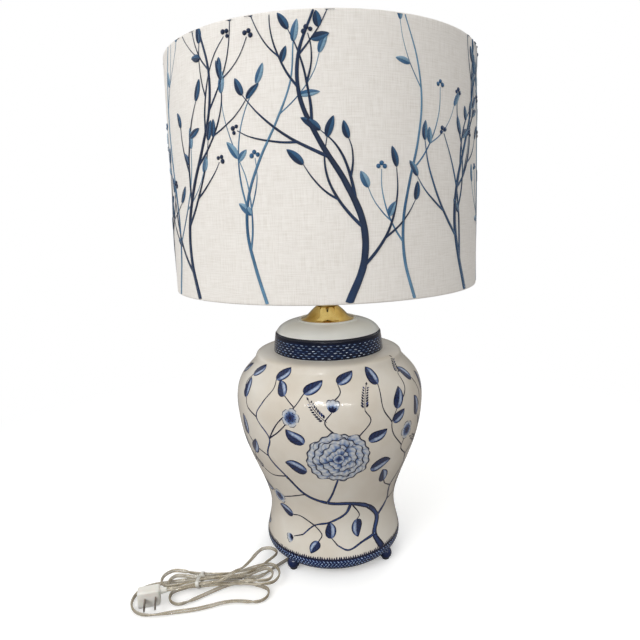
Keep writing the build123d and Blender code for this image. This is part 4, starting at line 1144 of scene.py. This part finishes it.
SIDE_LIMBS = (
    ((9.2, 7.6, 6.4, 5.2, 4.0), (-34, 26), (-26, 50), (-32, 74), (-20, 98), (-8, 124), (-14, 152), (-4, 176)),
    ((3.6, 2.8, 2.2, 1.6), (-4, 176), (8, 196), (6, 220), (14, 240)),
    ((4.2, 3.2, 2.4, 1.7), (-8, 124), (10, 132), (24, 128), (38, 140)),
    ((4.4, 3.4, 2.4, 1.7), (-26, 50), (-10, 58), (6, 54), (20, 64)),
    ((3.4, 2.8, 2.2, 1.6), (-14, 152), (-28, 166), (-32, 190), (-42, 204)),
)
SIDE_TWIGS = (
    (((8, 196), (20, 204), (28, 214)), FINE, ("blossom", 31, 221, 25, 0.4)),
    (((14, 240), (10, 254)), THIN, ("leaf", 10, 253, -0.4, 27, 14)),
    (((6, 220), (-4, 230), (-8, 242)), FINE, ("bud", -8, 242, -0.3, 14)),
    (((-42, 204), (-38, 220), (-42, 236)), (1.8, 1.4), ("leaf", -42, 235, -0.2, 29, 15)),
    (((-32, 190), (-22, 202), (-20, 212)), FINE, ("blossom", -19, 219, 23, 0.1)),
    (((-28, 166), (-40, 160), (-50, 166)), FINE, ("sprig", -48, 165, -0.8, 34, -0.2)),
    (((38, 140), (44, 154), (42, 166)), (1.8, 1.4), ("blossom", 42, 174, 26, 0.7)),
    (((24, 128), (32, 114), (42, 110)), FINE, ("leaf", 42, 110, 1.5, 28, 14)),
    (((10, 132), (14, 148), (22, 160)), FINE, ("bud", 22, 160, 0.6, 14)),
    (((20, 64), (32, 74), (34, 86)), (1.8, 1.4), ("blossom", 34, 93, 23, 0.2)),
    (((6, 54), (14, 42), (24, 38)), FINE, ("leaf", 24, 38, 1.3, 22, 11)),
    (((-32, 74), (-46, 84), (-50, 98)), FINE, ("leaf", -50, 97, -0.3, 28, 14)),
    (((-20, 98), (-2, 96), (10, 100)), FINE, ("leaf", 10, 100, 1.1, 26, 13)),
    (((20, 204), (30, 232), (26, 264)), (1.9, 1.4), ("leaf", 26, 263, 0.7, 27, 14)),
    (((-38, 220), (-26, 240), (-24, 262)), FINER, ("sprig", -24, 261, 0.7, 30, -0.2, 7)),
    (((38, 140), (50, 150), (56, 168)), (1.9, 1.4), ("leaf", 56, 167, 0.4, 28, 14)),
)


def front_panel(brush):
    """A flowering branch that rises from the right, bends across under a large peony and turns up at the left."""
    branch(brush, 0, FRONT_LIMBS[:1], ())
    knots(brush, 0, FRONT_LIMBS[0])
    branch(brush, 0, FRONT_LIMBS[1:], ())
    for a, z, way, length, width, curl in (
            (-15, 160, -1.35, 31, 16, 0.2), (24, 158, 1.5, 32, 16, -0.2), (21, 200, 1.05, 29, 14, 0.2),
            (-15, 200, -0.8, 29, 15, -0.2)):
        brush.leaf(a, z, way, length, width, curl, 0.00002)
    brush.peony(4, 180, 76, 0.25)
    branch(brush, 0, (), FRONT_TWIGS)


def side_panel(brush, turn):
    """Prunus in flower with a butterfly over it, on both of the jar's flanks."""
    branch(brush, turn, SIDE_LIMBS[:1], ())
    knots(brush, turn, SIDE_LIMBS[0])
    branch(brush, turn, SIDE_LIMBS[1:], SIDE_TWIGS)
    brush.butterfly(6 + turn, 180, 36, 0.5)


def back_spray(brush):
    """A leafy stem up the gap between the two flowering branches, at the back."""
    stem = [(180, 26), (175, 52), (183, 84), (177, 116), (184, 148), (179, 176)]
    brush.line(stem, (5.4, 4.2, 3.0, 1.8), INK, WASH)
    for k, (a, z) in enumerate(stem[1:]):
        side = (-1) ** k
        brush.leaf(a, z, side * 1.0, 27, 13, side * 0.15)
        brush.line([(a, z - 12), (a - side * 7, z + 2)], (1.8, 1.3))
        brush.leaf(a - side * 7, z + 1, -side * 0.7, 24, 12, -side * 0.15)
    brush.sprig(179, 176, 0.15, 34, 0.2)
    brush.butterfly(176, 236, 38, 0.4)


def make_jar_painting():
    branches = Brush(jar, 5)
    front_panel(branches)
    side_panel(branches, 118)
    side_panel(branches, -112)
    back_spray(branches)
    branches.sheet.make("jar_painting", "lamp", paint, "glaze")


def make_band(name, wall, heights, count, seed, washes, edges, top_rows, slot):
    """A ring of cobalt of uneven depth, darker at its two edges."""
    patch = count // BAND_PATCHES
    tone = np.random.default_rng(seed).uniform(0, 1, (len(heights), BAND_PATCHES)).repeat(patch, 1)
    tone = (tone + np.roll(tone, patch // 2, 1)) / 2
    colours = blend(linear(washes[0]), linear(washes[1]), tone)
    colours[:2], colours[-top_rows:] = linear(edges[0]), linear(edges[1])
    angle, s = np.broadcast_arrays(circle(count), heights[:, None])
    band = Sheet()
    band.grid(wall.at(angle, s, 0.0001), colours, wrap=True)
    band.make(name, "lamp", paint, slot)


def staggered(brush, rows, around, low, pitch, shake):
    """The row, angle and height of each touch; every other row is set half a step on."""
    for row in range(rows):
        for k in range(around):
            turn = (k + 0.5 * (row % 2)) * 360 / around + brush.pick.uniform(-shake, shake)
            yield row, turn, low + pitch * row


def make_base_band():
    """Navy band with rows of slanting light touches and a toothed upper edge."""
    low, high = jar.rise(0.0083), jar.rise(0.0268)
    make_band("base_band", jar, low + np.linspace(0, 1, 12) * (high - low), 720, 3, ((12, 26, 64), (24, 42, 88)),
              ((10, 20, 54), (8, 18, 50)), 2, "glaze")
    brush = Brush(jar, 17)
    pick = brush.pick
    for row, turn, z in staggered(brush, 5, 130, 10.6, 3.1, 0.2):
        lean = (0.8 if row % 2 else -0.8) + pick.uniform(-0.12, 0.12)
        tone = pick.choice(((136, 160, 198), (116, 142, 186), (158, 180, 212)))
        brush.dab(turn, z, lean, 3.9, 1.05, tone, -1.9 * math.sin(lean), -1.9 * math.cos(lean), 0.0001)
    for k in range(TEETH):
        turn = (k + pick.uniform(-0.12, 0.12)) * 360 / TEETH
        brush.dab(turn, 25.2, pick.uniform(-0.12, 0.12), pick.uniform(4.0, 5.2), 2.1, INK, 0, 0, 0.00006)
    brush.sheet.make("base_lattice", "lamp", paint, "glaze")


def make_lid_band():
    """Navy skirt with six rows of staggered light dashes and a dark line round its top."""
    s = np.concatenate([np.linspace(lid.s[0], lid.rise(0.3112), 9), np.linspace(lid.rise(0.3118), lid.s[-1], 12)])
    make_band("lid_band", lid, s, 360, 8, ((8, 20, 44), (18, 36, 72)), ((8, 18, 42), (8, 16, 38)), 12, "lid_glaze")
    brush = Brush(lid, 23)
    pick = brush.pick
    for _, turn, z in staggered(brush, 6, 58, 293.9, 3.15, 0.7):
        lean = math.pi / 2 + pick.uniform(-0.16, 0.16)
        length, width = pick.uniform(3.4, 5.2), pick.uniform(0.6, 0.95)
        tone = pick.choice(((168, 186, 206), (138, 160, 188), (194, 206, 220), (112, 136, 170)))
        brush.dab(turn, z, lean, length, width, tone, -length / 2, pick.uniform(-0.3, 0.3), 0.00008)
    brush.sheet.make("lid_dashes", "lamp", paint, "lid_glaze")


make_jar_painting()
make_base_band()
make_lid_band()


# ------------------------------------------------------------------ room
ROOM_LIGHT = 0.66


def make_room():
    """The camera sees plain white; the lamp is lit by a room that is white above and dim below."""
    scene = bpy.context.scene
    scene.view_settings.view_transform = "Standard"
    world = bpy.data.worlds.new("studio")
    scene.world = world
    world.use_nodes = True
    tree = world.node_tree
    tree.nodes.clear()
    place = add_node(tree, "ShaderNodeTexCoord").outputs["Generated"]
    up = add_node(tree, "ShaderNodeSeparateXYZ", {0: place}).outputs[2]
    ramp = add_node(tree, "ShaderNodeValToRGB", {"Fac": up})
    fill_ramp(ramp, ((0.0, (0.2, 0.19, 0.18)), (0.1, (0.22, 0.22, 0.22)), (0.3, (0.7, 0.7, 0.7)), (0.8, (1, 1, 1))))
    lit = add_node(tree, "ShaderNodeBackground", {"Color": ramp.outputs["Color"], "Strength": ROOM_LIGHT})
    seen = add_node(tree, "ShaderNodeBackground", {"Color": (1, 1, 1, 1), "Strength": 1.0})
    ray = add_node(tree, "ShaderNodeLightPath").outputs["Is Camera Ray"]
    mix = add_node(tree, "ShaderNodeMixShader", {0: ray, 1: lit.outputs[0], 2: seen.outputs[0]})
    add_node(tree, "ShaderNodeOutputWorld", {"Surface": mix.outputs[0]})


def area_light(name, where, target, size, watts, kind):
    """A rectangular light that the camera doesn't see."""
    data = bpy.data.lights.new(name, "AREA")
    data.shape = "RECTANGLE"
    data.size, data.size_y = size
    data.energy = watts
    light = add_object(name, data)
    light.location = where
    light.rotation_euler = (Vector(target) - Vector(where)).to_track_quat("-Z", "Y").to_euler()
    light.visible_camera = False
    light.visible_glossy = kind == "glossy"
    light.visible_diffuse = kind == "diffuse"


def make_floor():
    """A pale floor that keeps the shadow near the lamp and fades to the white backdrop."""
    look = Look("pale_floor", (246, 246, 246), 0.7)
    look.link(look.ramp(look.noise(3, 3), (0.3, (243, 243, 242)), (0.7, (249, 249, 248))), "Base Color")

    def shader(kind, inputs=()):
        return look.node("ShaderNode" + kind, inputs).outputs[0]

    place = look.node("ShaderNodeNewGeometry").outputs["Position"]
    away = look.node("ShaderNodeVectorMath", {0: place}, operation="LENGTH").outputs["Value"]
    fade = look.node("ShaderNodeMapRange", {"Value": away, "From Min": 0.32, "From Max": 0.95},
                     interpolation_type="SMOOTHSTEP").outputs[0]
    lifted = shader("AddShader", {0: look.shader.outputs[0], 1: shader("Emission", {"Strength": 0.3})})
    seen = shader("MixShader", {0: fade, 1: lifted, 2: shader("Emission")})
    dim = shader("BsdfDiffuse", {"Color": (0.3, 0.28, 0.26, 1)})
    ray = look.node("ShaderNodeLightPath").outputs["Is Camera Ray"]
    mix = shader("MixShader", {0: ray, 1: dim, 2: seen})
    look.tree.links.new(mix, look.tree.nodes["Material Output"].inputs["Surface"])

    n, m = 40, 96
    radius = np.concatenate([np.linspace(0.001, 1.2, 25), np.linspace(1.4, 12, 15)])[:, None]
    points = np.stack([radius * np.cos(circle(m)), radius * np.sin(circle(m)), np.zeros((n, m))], -1)
    faces = [(i * m + j, (i + 1) * m + j, (i + 1) * m + (j + 1) % m, i * m + (j + 1) % m)
             for i in range(n - 1) for j in range(m)]
    faces.append(tuple(range(m)))
    mesh = bpy.data.meshes.new("floor")
    mesh.from_pydata(points.reshape(-1, 3).tolist(), [], faces)
    mesh.materials.append(look.material)
    floor = add_object("floor", mesh)


make_room()
make_floor()
# name, place, aim, width and height, watts, what it lights
for light in (
        ("key", (-1.6, -1.6, 1.5), (0, 0, 0.35), (1.6, 1.2), 33, "diffuse"),
        ("front", (-0.2, -2.4, 0.5), (0, 0, 0.33), (1.4, 0.7), 10, "diffuse"),
        ("fill", (1.9, -1.0, 0.9), (0, 0, 0.4), (1.2, 1.2), 7, "diffuse"),
        ("back", (0.5, 1.9, 1.3), (0, 0, 0.4), (1.6, 1.0), 15, "diffuse"),
        ("card", (-0.35, -1.5, 1.05), (0, 0, 0.34), (0.22, 0.16), 3.0, "glossy"),
        ("strip_low", (-0.05, -1.62, 0.84), (0, -0.12, 0.26), (1.8, 0.02), 3.2, "glossy"),
        ("strip_high", (-0.1, -1.62, 0.95), (0, -0.12, 0.26), (1.4, 0.02), 2.0, "glossy")):
    area_light(*light)
